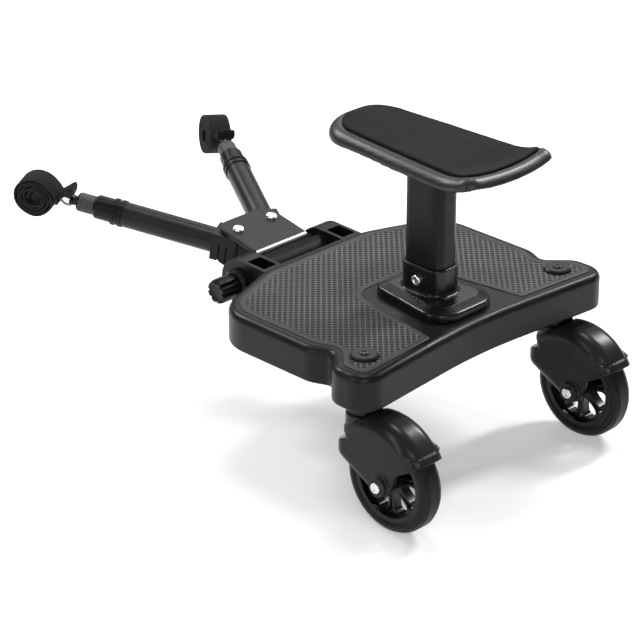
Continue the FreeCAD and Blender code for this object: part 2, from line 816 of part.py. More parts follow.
def build_fork(name, side):
    """Hooded caster fork with its column, axle bosses and bores, drawn from the wheel's centre."""
    body = new_body("caster_fork_" + name)
    cheeks = "(tyre_width + 2 * wheel_gap + 2 * cheek_thick)"
    sketch = new_sketch(body, "YZ_Plane")
    add_wire(sketch, cheek_outline())
    feature(body, "Pad", sketch, cheeks, both=True)
    outer = size.tyre_width / 2 + size.wheel_gap + size.cheek_thick

    def on_front(edge):
        box = edge.BoundBox
        flat = box.XLength < 0.01 and abs(abs(box.XMin) - outer) < 0.01
        return flat and edge.CenterOfMass.y > size.trail

    round_edges(body, "cheek_round", on_front)
    hood(body, hood_profile(size.hood_rise, size.hood_root), "hood_span", size.hood_lean)
    lip_lean = size.hood_lean + (size.hood_span - size.lip_span) / 2
    hood(body, hood_profile(size.hood_rise + size.lip_rise, size.hood_root), "lip_span", lip_lean)
    sketch = new_sketch(body, "YZ_Plane")
    add_circle(sketch, "axle_boss_radius")
    feature(body, "Pad", sketch, cheeks + " + 2 * axle_boss", both=True)
    column_top = "(boss_foot - bush_flange - fork_top_gap - wheel_radius)"
    sketch = new_sketch(body, "XY_Plane", column_top)
    add_circle(sketch, "boss_radius + hood_relief", "0", "trail")
    feature(body, "Pocket", sketch, "wheel_radius", back=True)
    sketch = new_sketch(body, "XY_Plane", "cheek_chin")
    add_circle(sketch, "boss_radius", "0", "trail")
    feature(body, "Pad", sketch, column_top + " - cheek_chin")
    sketch = new_sketch(body, "YZ_Plane")
    add_circle(sketch, "wheel_radius + wheel_gap")
    feature(body, "Pocket", sketch, "tyre_width + 2 * wheel_gap", both=True)
    sketch = new_sketch(body, "YZ_Plane")
    add_circle(sketch, "axle_radius + seat_gap")
    feature(body, "Pocket", sketch, "4 * tyre_width", both=True)
    sketch = new_sketch(body, "XY_Plane", "stem_foot - wheel_radius")
    add_circle(sketch, "stem_radius + seat_gap", "0", "trail")
    feature(body, "Pocket", sketch, "deck_top", back=True)
    FRAMES[body.Name] = wheel_frame(side)


def build_swivel(name, side):
    """Stem, flanged bush, top cap and its screw on a caster's swivel axis."""
    stem_top = "deck_top + mat_proud"
    thread = "cap_screw_radius + seat_gap"
    stem = turned("swivel_stem_" + name, "XZ_Plane", [
        ("0", "stem_foot"),
        ("stem_radius", "stem_foot"),
        ("stem_radius", stem_top),
        (thread, stem_top),
        (thread, stem_top + " - cap_screw_length"),
        ("0", stem_top + " - cap_screw_length"),
    ], "V_Axis")
    inner = "stem_radius + running_gap"
    outer = "bush_radius - seat_gap"
    bush = turned("caster_bush_" + name, "XZ_Plane", [
        (inner, "boss_foot - bush_flange"),
        ("bush_flange_radius", "boss_foot - bush_flange"),
        ("bush_flange_radius", "boss_foot"),
        (outer, "boss_foot"),
        (outer, "deck_top - mat_thick"),
        (inner, "deck_top - mat_thick"),
    ], "V_Axis")
    cap_top = stem_top + " + cap_thick"
    cap = turned("caster_cap_" + name, "XZ_Plane", [
        (thread, stem_top),
        ("cap_radius", stem_top),
        ("cap_radius", cap_top + " - cap_thick * 0.4"),
        ("cap_radius - cap_thick * 0.4", cap_top),
        ("cap_screw_head + free_gap", cap_top),
        ("cap_screw_head + free_gap", cap_top + " - cap_thick / 2"),
        (thread, cap_top + " - cap_thick / 2"),
    ], "V_Axis")
    seat = cap_top + " - cap_thick / 2"
    screw = turned("cap_screw_" + name, "XZ_Plane", [
        ("0", stem_top + " - cap_screw_length + free_gap"),
        ("cap_screw_radius", stem_top + " - cap_screw_length + free_gap"),
        ("cap_screw_radius", seat),
        ("cap_screw_head", seat),
        ("cap_screw_head", seat + " + cap_thick * 0.5"),
        ("cap_screw_head * 0.6", seat + " + cap_thick * 0.75"),
        ("0", seat + " + cap_thick * 0.75"),
    ], "V_Axis")
    for body in (stem, bush, cap, screw):
        FRAMES[body.Name] = caster_frame(side)


def leaf_wire(inner, outer, half_width, lean, turn):
    """Leaf-shaped opening of the wheel's web from one radius to another, turned round the axle."""
    belly = inner + (outer - inner) * 0.68
    crest = Vector(lean, outer, 0)
    tip = Vector(0, inner, 0)
    left = Vector(lean - half_width, belly, 0)
    right = Vector(lean + half_width, belly, 0)
    flank = inner + (outer - inner) * 0.3
    edges = [Part.Arc(tip, Vector(lean - half_width * 0.62, flank, 0), left).toShape(),
             Part.Arc(left, crest, right).toShape(),
             Part.Arc(right, Vector(lean + half_width * 0.62, flank, 0), tip).toShape()]
    wire = Part.Wire(edges)
    wire.rotate(Vector(), Vector(0, 0, 1), turn)
    return wire


def build_wheel(name, side):
    """Spoked wheel with its tyre, axle bush, axle bolt and nut."""
    hub = turned("wheel_hub_" + name, "XY_Plane", [
        ("-hub_width / 2", "axle_radius + axle_bush_wall"),
        ("-hub_width / 2", "hub_radius"),
        ("-web_thick / 2", "hub_radius"),
        ("-web_thick / 2", "rim_radius - rim_wall"),
        ("-rim_width / 2", "rim_radius - rim_wall"),
        ("-rim_width / 2", "rim_radius"),
        ("rim_width / 2", "rim_radius"),
        ("rim_width / 2", "rim_radius - rim_wall"),
        ("web_thick / 2", "rim_radius - rim_wall"),
        ("web_thick / 2", "hub_radius"),
        ("hub_width / 2", "hub_radius"),
        ("hub_width / 2", "axle_radius + axle_bush_wall"),
    ], "H_Axis")
    inner = size.hub_radius + size.rim_wall * 0.7
    outer = size.rim_radius - size.rim_wall * 1.4
    for half_width, turn in ((size.leaf_half, 0.0), (size.rib_slit / 2, 180.0 / size.spoke_count)):
        sketch = new_sketch(hub, "YZ_Plane")
        add_wire(sketch, leaf_wire(inner, outer, half_width, size.leaf_lean, turn))
        leaf = feature(hub, "Pocket", sketch, "2 * web_thick", both=True)
        polar(hub, leaf, "X_Axis", "spoke_count")
    bush_outer = "axle_radius + axle_bush_wall - seat_gap"
    bush = turned("wheel_bush_" + name, "XY_Plane", [
        ("-hub_width / 2", "axle_radius + running_gap"),
        ("-hub_width / 2", bush_outer),
        ("hub_width / 2", bush_outer),
        ("hub_width / 2", "axle_radius + running_gap"),
    ], "H_Axis")
    flat = "(wheel_radius - tyre_shoulder * 0.35)"
    tyre = turned("tyre_" + name, "XY_Plane", [
        ("-rim_width / 2", "rim_radius + seat_gap"),
        ("-tyre_width / 2", "rim_radius + tyre_shoulder * 0.4"),
        ("-tyre_width / 2", "wheel_radius - tyre_shoulder"),
        ("-tyre_width / 2 + tyre_shoulder * 0.35", flat),
        ("-tyre_width / 2 + tyre_shoulder", "wheel_radius"),
        ("tyre_width / 2 - tyre_shoulder", "wheel_radius"),
        ("tyre_width / 2 - tyre_shoulder * 0.35", flat),
        ("tyre_width / 2", "wheel_radius - tyre_shoulder"),
        ("tyre_width / 2", "rim_radius + tyre_shoulder * 0.4"),
        ("rim_width / 2", "rim_radius + seat_gap"),
    ], "H_Axis")
    reach = "(tyre_width / 2 + wheel_gap + cheek_thick + axle_boss)"
    bolt = turned("wheel_axle_" + name, "XY_Plane", [
        ("-" + reach + " - axle_head", "0"),
        ("-" + reach + " - axle_head", "axle_radius * 0.7"),
        ("-" + reach, "axle_radius"),
        (reach, "axle_radius"),
        (reach, "axle_head_radius"),
        (reach + " + axle_head * 0.6", "axle_head_radius"),
        (reach + " + axle_head", "axle_head_radius * 0.6"),
        (reach + " + axle_head", "0"),
    ], "H_Axis")
    nut = turned("axle_nut_" + name, "XY_Plane", [
        ("-" + reach, "axle_radius + seat_gap"),
        ("-" + reach, "axle_head_radius"),
        ("-" + reach + " - axle_head * 0.6", "axle_head_radius"),
        ("-" + reach + " - axle_head * 0.8", "axle_radius + seat_gap"),
    ], "H_Axis")
    for body in (hub, bush, tyre, bolt, nut):
        FRAMES[body.Name] = wheel_frame(side)


# Hinge, block and arms

def build_hinge():
    """Axle bolt through the lugs and the clamping knob with its collar ring."""
    axle = turned("hinge_axle", "XY_Plane", [
        ("-lug_outer - collar_ring - knob_length * 0.8", "0"),
        ("-lug_outer - collar_ring - knob_length * 0.8", "hinge_bolt_radius"),
        ("lug_outer", "hinge_bolt_radius"),
        ("lug_outer", "hinge_head_radius"),
        ("lug_outer + hinge_head * 0.7", "hinge_head_radius"),
        ("lug_outer + hinge_head", "hinge_head_radius * 0.7"),
        ("lug_outer + hinge_head", "0"),
    ], "H_Axis")
    ring = turned("hinge_collar", "XY_Plane", [
        ("-lug_outer", "hinge_bolt_radius + seat_gap"),
        ("-lug_outer", "collar_ring_radius"),
        ("-lug_outer - collar_ring * 0.6", "collar_ring_radius"),
        ("-lug_outer - collar_ring", "knob_radius"),
        ("-lug_outer - collar_ring", "hinge_bolt_radius + seat_gap"),
    ], "H_Axis")
    start = "-lug_outer - collar_ring - free_gap"
    knob = turned("hinge_knob", "XY_Plane", [
        (start, "hinge_bolt_radius + running_gap"),
        (start, "knob_radius * 0.8"),
        (start + " - knob_length * 0.2", "knob_radius"),
        (start + " - knob_length * 0.9", "knob_radius"),
        (start + " - knob_length", "knob_radius * 0.85"),
        (start + " - knob_length", "0"),
        (start + " - knob_length * 0.85", "0"),
        (start + " - knob_length * 0.85", "hinge_bolt_radius + running_gap"),
    ], "H_Axis")
    sketch = new_sketch(knob, "YZ_Plane", "-lug_outer - collar_ring - knob_length * 0.2")
    add_circle(sketch, "knob_flute", "knob_radius + knob_flute * 0.3")
    flute = feature(knob, "Pocket", sketch, "knob_length")
    polar(knob, flute, "X_Axis", "knob_lobes")
    for body in (axle, ring, knob):
        FRAMES[body.Name] = axle_frame


def plate_corners(rear):
    """Plan outline of the block's cover and floor, from a rear edge to the round front."""
    nose = (size.block_half, size.block_front, size.plate_nose_round)
    heel = (size.block_half, rear, size.plate_heel_round)
    return both_sides([nose, heel])


def build_block():
    """Hinge block: barrel on the axle, floor and web that carry the arm pivots, and the cover plate."""
    block = new_body("hinge_block")
    sketch = new_sketch(block, "YZ_Plane")
    add_circle(sketch, "barrel_radius")
    feature(block, "Pad", sketch, "2 * (lug_inner - free_gap)", both=True)
    sketch = new_sketch(block, "YZ_Plane")
    neck = [("0", "-barrel_radius"), ("block_neck", "-block_low"), ("block_neck", "block_high"),
            ("0", "barrel_radius * 0.8")]
    add_polygon(sketch, neck)
    feature(block, "Pad", sketch, "2 * block_half", both=True)
    sketch = new_sketch(block, "XY_Plane", "-block_low")
    add_wire(sketch, rounded(plate_corners(size.block_neck - size.block_lap)))
    feature(block, "Pad", sketch, "block_floor")
    sketch = new_sketch(block, "XY_Plane", "-block_low")
    add_rectangle(sketch, ("-web_half", "block_neck - block_lap"), ("web_half", "block_front - block_floor"))
    feature(block, "Pad", sketch, "block_low + block_high")
    sketch = new_sketch(block, "YZ_Plane")
    add_rectangle(sketch, ("0", "block_high"), ("2 * barrel_radius", "2 * block_high"))
    feature(block, "Pocket", sketch, "4 * lug_outer", both=True)
    sketch = new_sketch(block, "YZ_Plane")
    add_circle(sketch, "hinge_bolt_radius + running_gap")
    feature(block, "Pocket", sketch, "4 * lug_outer", both=True)
    sketch = new_sketch(block, "XY_Plane")
    for sign in ("", "-"):
        add_circle(sketch, "pivot_radius + seat_gap", sign + "pivot_half", "pivot_ahead")
    feature(block, "Pocket", sketch, "8 * block_low", both=True)

    cover = new_body("cover_plate")
    sketch = new_sketch(cover, "XY_Plane", "block_high")
    add_wire(sketch, rounded(plate_corners(size.cover_rear)))
    feature(cover, "Pad", sketch, "cover_thick")
    top = size.block_high + size.cover_thick
    round_edges(cover, "cover_round", lambda edge: at_level(edge, top))
    sketch = new_sketch(cover, "XY_Plane")
    for sign in ("", "-"):
        add_circle(sketch, "pivot_radius + seat_gap", sign + "pivot_half", "pivot_ahead")
    feature(cover, "Pocket", sketch, "8 * block_low", both=True)
    FRAMES[block.Name] = axle_frame
    FRAMES[cover.Name] = axle_frame


def build_pivots():
    """Pivot screws through cover, knuckles and floor, and their nuts, as two sets."""
    screws = new_body("pivot_screws")
    nuts = new_body("pivot_nuts")
    sketch = new_sketch(screws, "XY_Plane", "-block_low - pivot_head")
    for sign in ("", "-"):
        add_circle(sketch, "pivot_radius", sign + "pivot_half", "pivot_ahead")
    feature(screws, "Pad", sketch, "block_low + block_high + cover_thick + 1.5 * pivot_head")
    sketch = new_sketch(screws, "XY_Plane", "block_high + cover_thick")
    for sign in ("", "-"):
        add_circle(sketch, "pivot_head_radius", sign + "pivot_half", "pivot_ahead")
    feature(screws, "Pad", sketch, "pivot_head")
    top = size.block_high + size.cover_thick + size.pivot_head
    round_edges(screws, "pivot_head * 0.6", lambda edge: at_level(edge, top))
    sketch = new_sketch(nuts, "XY_Plane", "-block_low - pivot_head")
    for sign in ("", "-"):
        add_circle(sketch, "pivot_head_radius", sign + "pivot_half", "pivot_ahead")
        add_circle(sketch, "pivot_radius + seat_gap", sign + "pivot_half", "pivot_ahead")
    feature(nuts, "Pad", sketch, "pivot_head")
    FRAMES[screws.Name] = axle_frame
    FRAMES[nuts.Name] = axle_frame


tube_start = size.knuckle_length
tube_end = tube_start + size.tube_length
collar_start = tube_end + size.ferrule_length
inner_tip = collar_start + size.collar_length + size.inner_shown
eye_place = inner_tip + size.plug_flange + size.tongue_length / 2
ring_place = eye_place + size.ring_radius


def build_arm(name, side):
    """Knuckle, telescopic tubes, ferrule, lock collar and end plug of one arm."""
    knuckle = new_body("arm_knuckle_" + name)
    sketch = new_sketch(knuckle, "XY_Plane", "-block_low + block_floor + free_gap")
    half = size.knuckle_half
    heel = (half, -half, half - size.free_gap / 2)
    add_wire(sketch, rounded(both_sides([(half, size.knuckle_length, 0.0), heel])))
    feature(knuckle, "Pad", sketch, "block_low - block_floor + block_high - 2 * free_gap")
    sketch = new_sketch(knuckle, "XY_Plane", "-block_low")
    sign = "-" if side < 0 else ""
    for slot in (0, 1):
        near = f"knuckle_length * {0.18 + 0.34 * slot}"
        low = (sign + "(knuckle_half - knuckle_half * 0.2)", near)
        add_rectangle(sketch, low, (sign + "knuckle_half * 2", near + " + knuckle_half * 0.25"))
    feature(knuckle, "Pocket", sketch, "block_low + block_high - 3 * block_floor", back=True)
    sketch = new_sketch(knuckle, "XZ_Plane", "-knuckle_length")
    add_circle(sketch, "tube_radius - tube_wall - seat_gap")
    feature(knuckle, "Pad", sketch, "knuckle_spigot", back=True)
    sketch = new_sketch(knuckle, "XY_Plane")
    add_circle(sketch, "pivot_radius + running_gap")
    feature(knuckle, "Pocket", sketch, "8 * block_low", both=True)

    end = "(knuckle_length + tube_length)"
    tube = turned("outer_tube_" + name, "XY_Plane",
                  sleeve("tube_radius", "tube_radius - tube_wall", "knuckle_length", end), "V_Axis")
    slide = "inner_radius + running_gap"
    ferrule = turned("tube_ferrule_" + name, "XY_Plane", [
        (slide, end + " - ferrule_length * 0.5"),
        ("tube_radius - tube_wall - seat_gap", end + " - ferrule_length * 0.5"),
        ("tube_radius - tube_wall - seat_gap", end),
        ("ferrule_radius", end),
        ("ferrule_radius", end + " + ferrule_length * 0.35"),
        ("tube_radius", end + " + ferrule_length * 0.45"),
        ("tube_radius", end + " + ferrule_length * 0.6"),
        ("ferrule_radius", end + " + ferrule_length * 0.7"),
        ("ferrule_radius", end + " + ferrule_length"),
        (slide, end + " + ferrule_length"),
    ], "V_Axis")
    nose = end + " + ferrule_length + free_gap"
    collar = turned("lock_collar_" + name, "XY_Plane", [
        (slide, nose),
        ("collar_radius", nose),
        ("collar_radius", nose + " + collar_length * 0.85"),
        ("collar_radius - collar_length * 0.1", nose + " + collar_length - free_gap"),
        (slide, nose + " + collar_length - free_gap"),
    ], "V_Axis")
    tip = end + " + ferrule_length + collar_length + inner_shown"
    hidden_end = "knuckle_length + knuckle_spigot + inner_clear"
    inner = turned("inner_tube_" + name, "XY_Plane",
                   sleeve("inner_radius", "inner_radius - inner_wall", hidden_end, tip), "V_Axis")
    plug = turned("tube_plug_" + name, "XY_Plane", [
        ("0", tip + " - inner_radius"),
        ("inner_radius - inner_wall - seat_gap", tip + " - inner_radius"),
        ("inner_radius - inner_wall - seat_gap", tip),
        ("inner_radius", tip),
        ("inner_radius - plug_flange / 2", tip + " + plug_flange"),
        ("0", tip + " + plug_flange"),
    ], "V_Axis")
    sketch = new_sketch(plug, "XY_Plane")
    add_rectangle(sketch, ("-tongue_half", tip), ("tongue_half", tip + " + plug_flange + tongue_length"))
    feature(plug, "Pad", sketch, "tongue_thick", both=True)
    sketch = new_sketch(plug, "XY_Plane")
    add_circle(sketch, "ring_wire + 2 * free_gap", "0", tip + " + plug_flange + tongue_length / 2")
    feature(plug, "Pocket", sketch, "4 * tongue_thick", both=True)
    for body in (knuckle, tube, ferrule, collar, inner, plug):
        FRAMES[body.Name] = arm_frame(side)


def ring_torus(wire_radius):
    """Wire ring standing in the upright plane along the arm, through the plug's eye."""
    return Part.makeTorus(size.ring_radius, wire_radius, Vector(0, ring_place, 0), Vector(1, 0, 0))


def roll_profile(centre):
    """Side view of the rolled strap: half circles that widen by half a pitch each."""
    half_pitch = size.strap_pitch / 2
    inner, outer = [], []
    for i in range(int(size.strap_half_turns)):
        radius = size.strap_bore + half_pitch * i
        shift = half_pitch / 2 * (-1 if i % 2 else 1)
        middle = centre + Vector(0, shift, 0)
        way = 1 if i % 2 == 0 else -1
        for turn, radius_here in ((inner, radius), (outer, radius + size.strap_thick)):
            start = middle + Vector(0, -way * radius_here, 0)
            crest = middle + Vector(0, 0, way * radius_here)
            end = middle + Vector(0, way * radius_here, 0)
            turn.append(Part.Arc(start, crest, end).toShape())
    first = Part.LineSegment(inner[0].valueAt(inner[0].FirstParameter),
                             outer[0].valueAt(outer[0].FirstParameter)).toShape()
    last = Part.LineSegment(inner[-1].valueAt(inner[-1].LastParameter),
                            outer[-1].valueAt(outer[-1].LastParameter)).toShape()
    return Part.Wire(Part.__sortEdges__(inner + [first, last] + outer))


def strap_shape():
    """Rolled strap with the gathered neck and bow that hold the wire ring."""
    turns = int(size.strap_half_turns)
    outer = size.strap_bore + size.strap_pitch / 2 * (turns - 1) + size.strap_thick
    far = ring_place + size.ring_radius
    centre = Vector(-size.strap_width / 2, far + size.strap_neck + outer, -size.strap_drop)
    roll = Part.Face(roll_profile(centre)).extrude(Vector(size.strap_width, 0, 0))
    near_y = centre.y - outer + size.strap_thick * 0.6
    stations = (
        (ring_place - size.ring_radius * 0.75, size.bow_half, size.bow_thick, size.bow_rise),
        (ring_place, size.neck_half, size.bow_thick, size.bow_rise),
        (far, size.neck_half, size.neck_thick, size.bow_rise * 0.4),
        (near_y, size.strap_width * 0.46, size.strap_thick * 3, -size.strap_drop),
    )
    sections = []
    for y, half, thick, level in stations:
        low = level - thick / 2
        high = level + thick / 2
        ring = [(-half, low), (half, low), (half, high), (-half, high), (-half, low)]
        sections.append(Part.makePolygon([Vector(x, y, z) for x, z in ring]))
    neck = Part.makeLoft(sections, True, True)
    return roll.fuse(neck).cut(ring_torus(size.ring_wire + size.free_gap)).removeSplitter()


def add_shape(label, shape, frame):
    """Sub-part whose shape is set in code, in its own frame."""
    part = doc.addObject("Part::Feature", label)
    part.Label = label
    part.Shape = shape
    PARTS.append(part)
    FRAMES[part.Name] = frame


def build_straps(name, side):
    """Wire ring and rolled strap at the end of one arm."""
    add_shape("wire_ring_" + name, ring_torus(size.ring_wire), arm_frame(side))
    add_shape("strap_" + name, strap_shape(), arm_frame(side))


def place_parts():
    """Move every sub-part to its frame, with the origin under the middle of the object."""
    strap = strap_shape()
    strap.Placement = arm_frame(1)
    front = strap.optimalBoundingBox(False, False).YMax
    rear = -size.trail - size.wheel_radius
    home = Placement(Vector(0, -(front + rear) / 2, 0), Rotation())
    for part in PARTS:
        part.Placement = home * FRAMES.get(part.Name, Placement())
    return home


def check_and_write():
    """Stop on a failed feature or shape, then write one STEP file for each sub-part."""
    doc.recompute()
    for item in doc.Objects:
        if "Invalid" in item.State or "Error" in item.State:
            raise RuntimeError(f"{item.Name} failed: {item.State}")
    for part in PARTS:
        if part.Shape.isNull() or not part.Shape.isValid() or not part.Shape.Solids:
            raise RuntimeError(f"{part.Label} has no valid solid")
    os.makedirs("parts", exist_ok=True)
    for part in PARTS:
        part.Shape.exportStep(f"parts/{part.Label}.step")


build_deck()
build_mat()
build_seat_base()
build_post()
build_saddle()
build_seat_bolt()
for side_name, side_sign in SIDES.items():
    build_fork(side_name, side_sign)
    build_swivel(side_name, side_sign)
    build_wheel(side_name, side_sign)
build_hinge()
build_block()
build_pivots()
for side_name, side_sign in SIDES.items():
    build_arm(side_name, side_sign)
    build_straps(side_name, side_sign)
place_parts()
check_and_write()
print(len(PARTS), "sub-parts written")
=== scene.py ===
"""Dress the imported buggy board: finishes, saddle pad, rolled straps, studio and camera.

Every length is in metres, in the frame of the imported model: +Y to the pram, +Z up, floor at Z = 0.
"""

import json
import logging
import math
from dataclasses import dataclass, field
from enum import Enum
from typing import Any, Callable, NamedTuple, Sequence

import bmesh
import bpy
from mathutils import Matrix, Vector, noise


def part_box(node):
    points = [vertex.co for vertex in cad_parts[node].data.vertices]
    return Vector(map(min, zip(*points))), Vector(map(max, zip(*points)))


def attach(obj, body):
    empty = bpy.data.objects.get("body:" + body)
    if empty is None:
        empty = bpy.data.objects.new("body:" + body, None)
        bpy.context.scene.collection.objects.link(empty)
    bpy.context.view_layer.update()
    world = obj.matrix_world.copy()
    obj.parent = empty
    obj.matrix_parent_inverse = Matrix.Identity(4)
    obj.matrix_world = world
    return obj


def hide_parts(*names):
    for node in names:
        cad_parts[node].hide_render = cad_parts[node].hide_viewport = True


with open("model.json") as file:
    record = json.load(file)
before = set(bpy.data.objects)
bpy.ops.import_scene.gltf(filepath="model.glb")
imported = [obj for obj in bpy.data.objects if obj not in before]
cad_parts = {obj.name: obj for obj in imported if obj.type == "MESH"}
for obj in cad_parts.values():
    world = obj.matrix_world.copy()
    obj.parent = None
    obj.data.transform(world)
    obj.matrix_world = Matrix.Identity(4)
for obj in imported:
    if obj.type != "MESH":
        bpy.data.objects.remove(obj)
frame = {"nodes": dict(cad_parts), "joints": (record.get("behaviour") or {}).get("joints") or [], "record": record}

LOG = logging.getLogger("buggy_board")
FUZZ_WEIGHT, FUZZ_ROUGHNESS = 0.02, 0.5
DUST_COLOUR = (0.30, 0.29, 0.28)
MOTTLE_SIZE, DUST_PATCH, RUB_LENGTH = 0.035, 0.012, 0.04
CRISP_EDGE = math.radians(40)
Triple = tuple[float, float, float]


class Side(Enum):
    """The two sides of the board, by the sign of X."""

    LEFT = -1
    RIGHT = 1

    @property
    def word(self) -> str:
        """The side as it stands in the names of nodes and bodies."""
        return self.name.lower()


class Surface(Enum):
    """What a finish shows close to."""

    MOULDED = "moulded plastic"
    PAINTED = "painted metal"
    BRIGHT = "bright metal"
    RUBBER = "rubber"
    PITTED = "pitted mat"
    FOAM = "foam"
    WOVEN = "webbing"


# Shader building


class Tree:
    """A node tree and short ways to fill it."""

    def __init__(self, tree: bpy.types.NodeTree) -> None:
        """Start from an emptied tree."""
        self.tree = tree
        tree.nodes.clear()

    def add(self, kind: str, inputs: dict[Any, Any] | None = None, **settings: Any) -> bpy.types.Node:
        """Add a node.

        Args:
            kind: Blender's node type.
            inputs: Values or output sockets, by the input's name or number.
            **settings: Attributes of the node.

        Returns:
            The new node.
        """
        node = self.tree.nodes.new(kind)
        for key, value in settings.items():
            setattr(node, key, value)
        for key, value in (inputs or {}).items():
            if isinstance(value, bpy.types.NodeSocket):
                self.tree.links.new(value, node.inputs[key])
            else:
                node.inputs[key].default_value = value
        return node

    def math(self, operation: str, first: Any, second: Any = 0.0) -> bpy.types.NodeSocket:
        """Work on two values.

        Args:
            operation: Blender's name for the sum.
            first: A value or a socket.
            second: A value or a socket.

        Returns:
            The result's socket.
        """
        return self.add("ShaderNodeMath", {0: first, 1: second}, operation=operation).outputs[0]

    def spread(self, value: Any, low: Any, high: Any, start: Any = 0.0, end: Any = 1.0) -> bpy.types.NodeSocket:
        """Map a value from one range to another, clamped.

        Args:
            value: The socket to map.
            low: The value that gives the start.
            high: The value that gives the end.
            start: The result at low.
            end: The result at high.

        Returns:
            The mapped value's socket.
        """
        sockets = {"Value": value, "From Min": low, "From Max": high, "To Min": start, "To Max": end}
        return self.add("ShaderNodeMapRange", sockets).outputs["Result"]

    def group(self, tree: bpy.types.NodeTree, inputs: dict[str, float]) -> Any:
        """Place a shared effect.

        Args:
            tree: The shared group.
            inputs: The group's values here.

        Returns:
            The group's output sockets.
        """
        return self.add("ShaderNodeGroup", inputs, node_tree=tree).outputs

    def blend(self, mask: Any, below: Any, above: Any) -> bpy.types.NodeSocket:
        """Mix two colours.

        Args:
            mask: Share of the upper colour.
            below: The colour where the mask is 0.
            above: The colour where the mask is 1.

        Returns:
            The mixed colour's socket.
        """
        node = self.add("ShaderNodeMix", {"Factor": mask}, data_type="RGBA")
        for name, value in (("A", below), ("B", above)):
            socket = next(s for s in node.inputs if s.name == name and s.type == "RGBA")
            if isinstance(value, bpy.types.NodeSocket):
                self.tree.links.new(value, socket)
            else:
                socket.default_value = (*value, 1.0)
        return next(s for s in node.outputs if s.type == "RGBA")


class EffectGroup:
    """A shader node group with named values in and out."""

    def __init__(self, name: str, inputs: dict[str, float], outputs: Sequence[str]) -> None:
        """Open an empty group.

        Args:
            name: The group's name.
            inputs: Default of each input value.
            outputs: Names of the output values.
        """
        self.group = bpy.data.node_groups.new(name, "ShaderNodeTree")
        self.nodes = Tree(self.group)
        for label, value in inputs.items():
            socket = self.group.interface.new_socket(label, in_out="INPUT", socket_type="NodeSocketFloat")
            socket.default_value = value
        for label in outputs:
            self.group.interface.new_socket(label, in_out="OUTPUT", socket_type="NodeSocketFloat")
        self.values = self.nodes.add("NodeGroupInput").outputs
        self.results = self.nodes.add("NodeGroupOutput").inputs

    def put(self, name: str, socket: bpy.types.NodeSocket) -> None:
        """Join a value to a named output."""
        self.group.links.new(socket, self.results[name])


def object_place(nodes: Tree) -> bpy.types.NodeSocket:
    """Place on the object, in metres."""
    return nodes.add("ShaderNodeTexCoord").outputs["Object"]


def facing_up(nodes: Tree) -> bpy.types.NodeSocket:
    """How far a face looks up, 1 where it is level."""
    normal = nodes.add("ShaderNodeNewGeometry").outputs["Normal"]
    return nodes.add("ShaderNodeSeparateXYZ", {0: normal}).outputs["Z"]


def make_grain() -> bpy.types.NodeTree:
    """Build the fine leathery grain of a mould's etched face.

    Returns:
        The group, with the grain's Height and a broad Mottle.
    """
    effect = EffectGroup("moulded_grain", {"Grain": 0.0006, "Mottle": 0.03}, ("Height", "Mottle"))
    nodes, place = effect.nodes, object_place(effect.nodes)
    fine_scale = nodes.math("DIVIDE", 1.0, effect.values["Grain"])
    fine = nodes.add("ShaderNodeTexNoise", {"Vector": place, "Scale": fine_scale, "Detail": 2.0})
    cells = nodes.add("ShaderNodeTexVoronoi", {"Vector": place, "Scale": fine_scale},
                      feature="SMOOTH_F1")
    broad_scale = nodes.math("DIVIDE", 1.0, effect.values["Mottle"])
    broad = nodes.add("ShaderNodeTexNoise", {"Vector": place, "Scale": broad_scale, "Detail": 3.0})
    effect.put("Height", nodes.math("ADD", fine.outputs[0], cells.outputs["Distance"]))
    effect.put("Mottle", broad.outputs[0])
    return effect.group


def make_dust() -> bpy.types.NodeTree:
    """Build the pale dust that settles on faces that look up.

    Returns:
        The group, with the dust's Mask.
    """
    effect = EffectGroup("settled_dust", {"Amount": 0.1, "Patch": 0.02}, ("Mask",))
    nodes, place = effect.nodes, object_place(effect.nodes)
    patch_scale = nodes.math("DIVIDE", 1.0, effect.values["Patch"])
    patches = nodes.add("ShaderNodeTexNoise", {"Vector": place, "Scale": patch_scale, "Detail": 6.0,
                                               "Roughness": 0.7})
    level = nodes.spread(facing_up(nodes), 0.2, 1.0)
    speck = nodes.spread(patches.outputs[0], 0.42, 0.75)
    mask = nodes.math("MULTIPLY", nodes.math("MULTIPLY", level, speck), effect.values["Amount"])
    effect.put("Mask", mask)
    return effect.group


def make_scuffs() -> bpy.types.NodeTree:
    """Build the faint crossed rubs of handling.

    Returns:
        The group, with the rubs' Mask.
    """
    effect = EffectGroup("handling_rubs", {"Amount": 0.2, "Length": 0.03}, ("Mask",))
    nodes, place = effect.nodes, object_place(effect.nodes)
    scale = nodes.math("DIVIDE", 1.0, effect.values["Length"])
    total = None
    for turn, thin in ((0.5, 28.0), (2.1, 34.0)):
        turned = nodes.add("ShaderNodeMapping", {"Vector": place, "Rotation": (turn, turn * 0.6, turn),
                                                 "Scale": (1.0, thin, thin)})
        streaks = nodes.add("ShaderNodeTexNoise", {"Vector": turned.outputs[0], "Scale": scale,
                                                   "Detail": 2.0})
        mask = nodes.spread(streaks.outputs[0], 0.66, 0.74)
        total = mask if total is None else nodes.math("MAXIMUM", total, mask)
    effect.put("Mask", nodes.math("MULTIPLY", total, effect.values["Amount"]))
    return effect.group


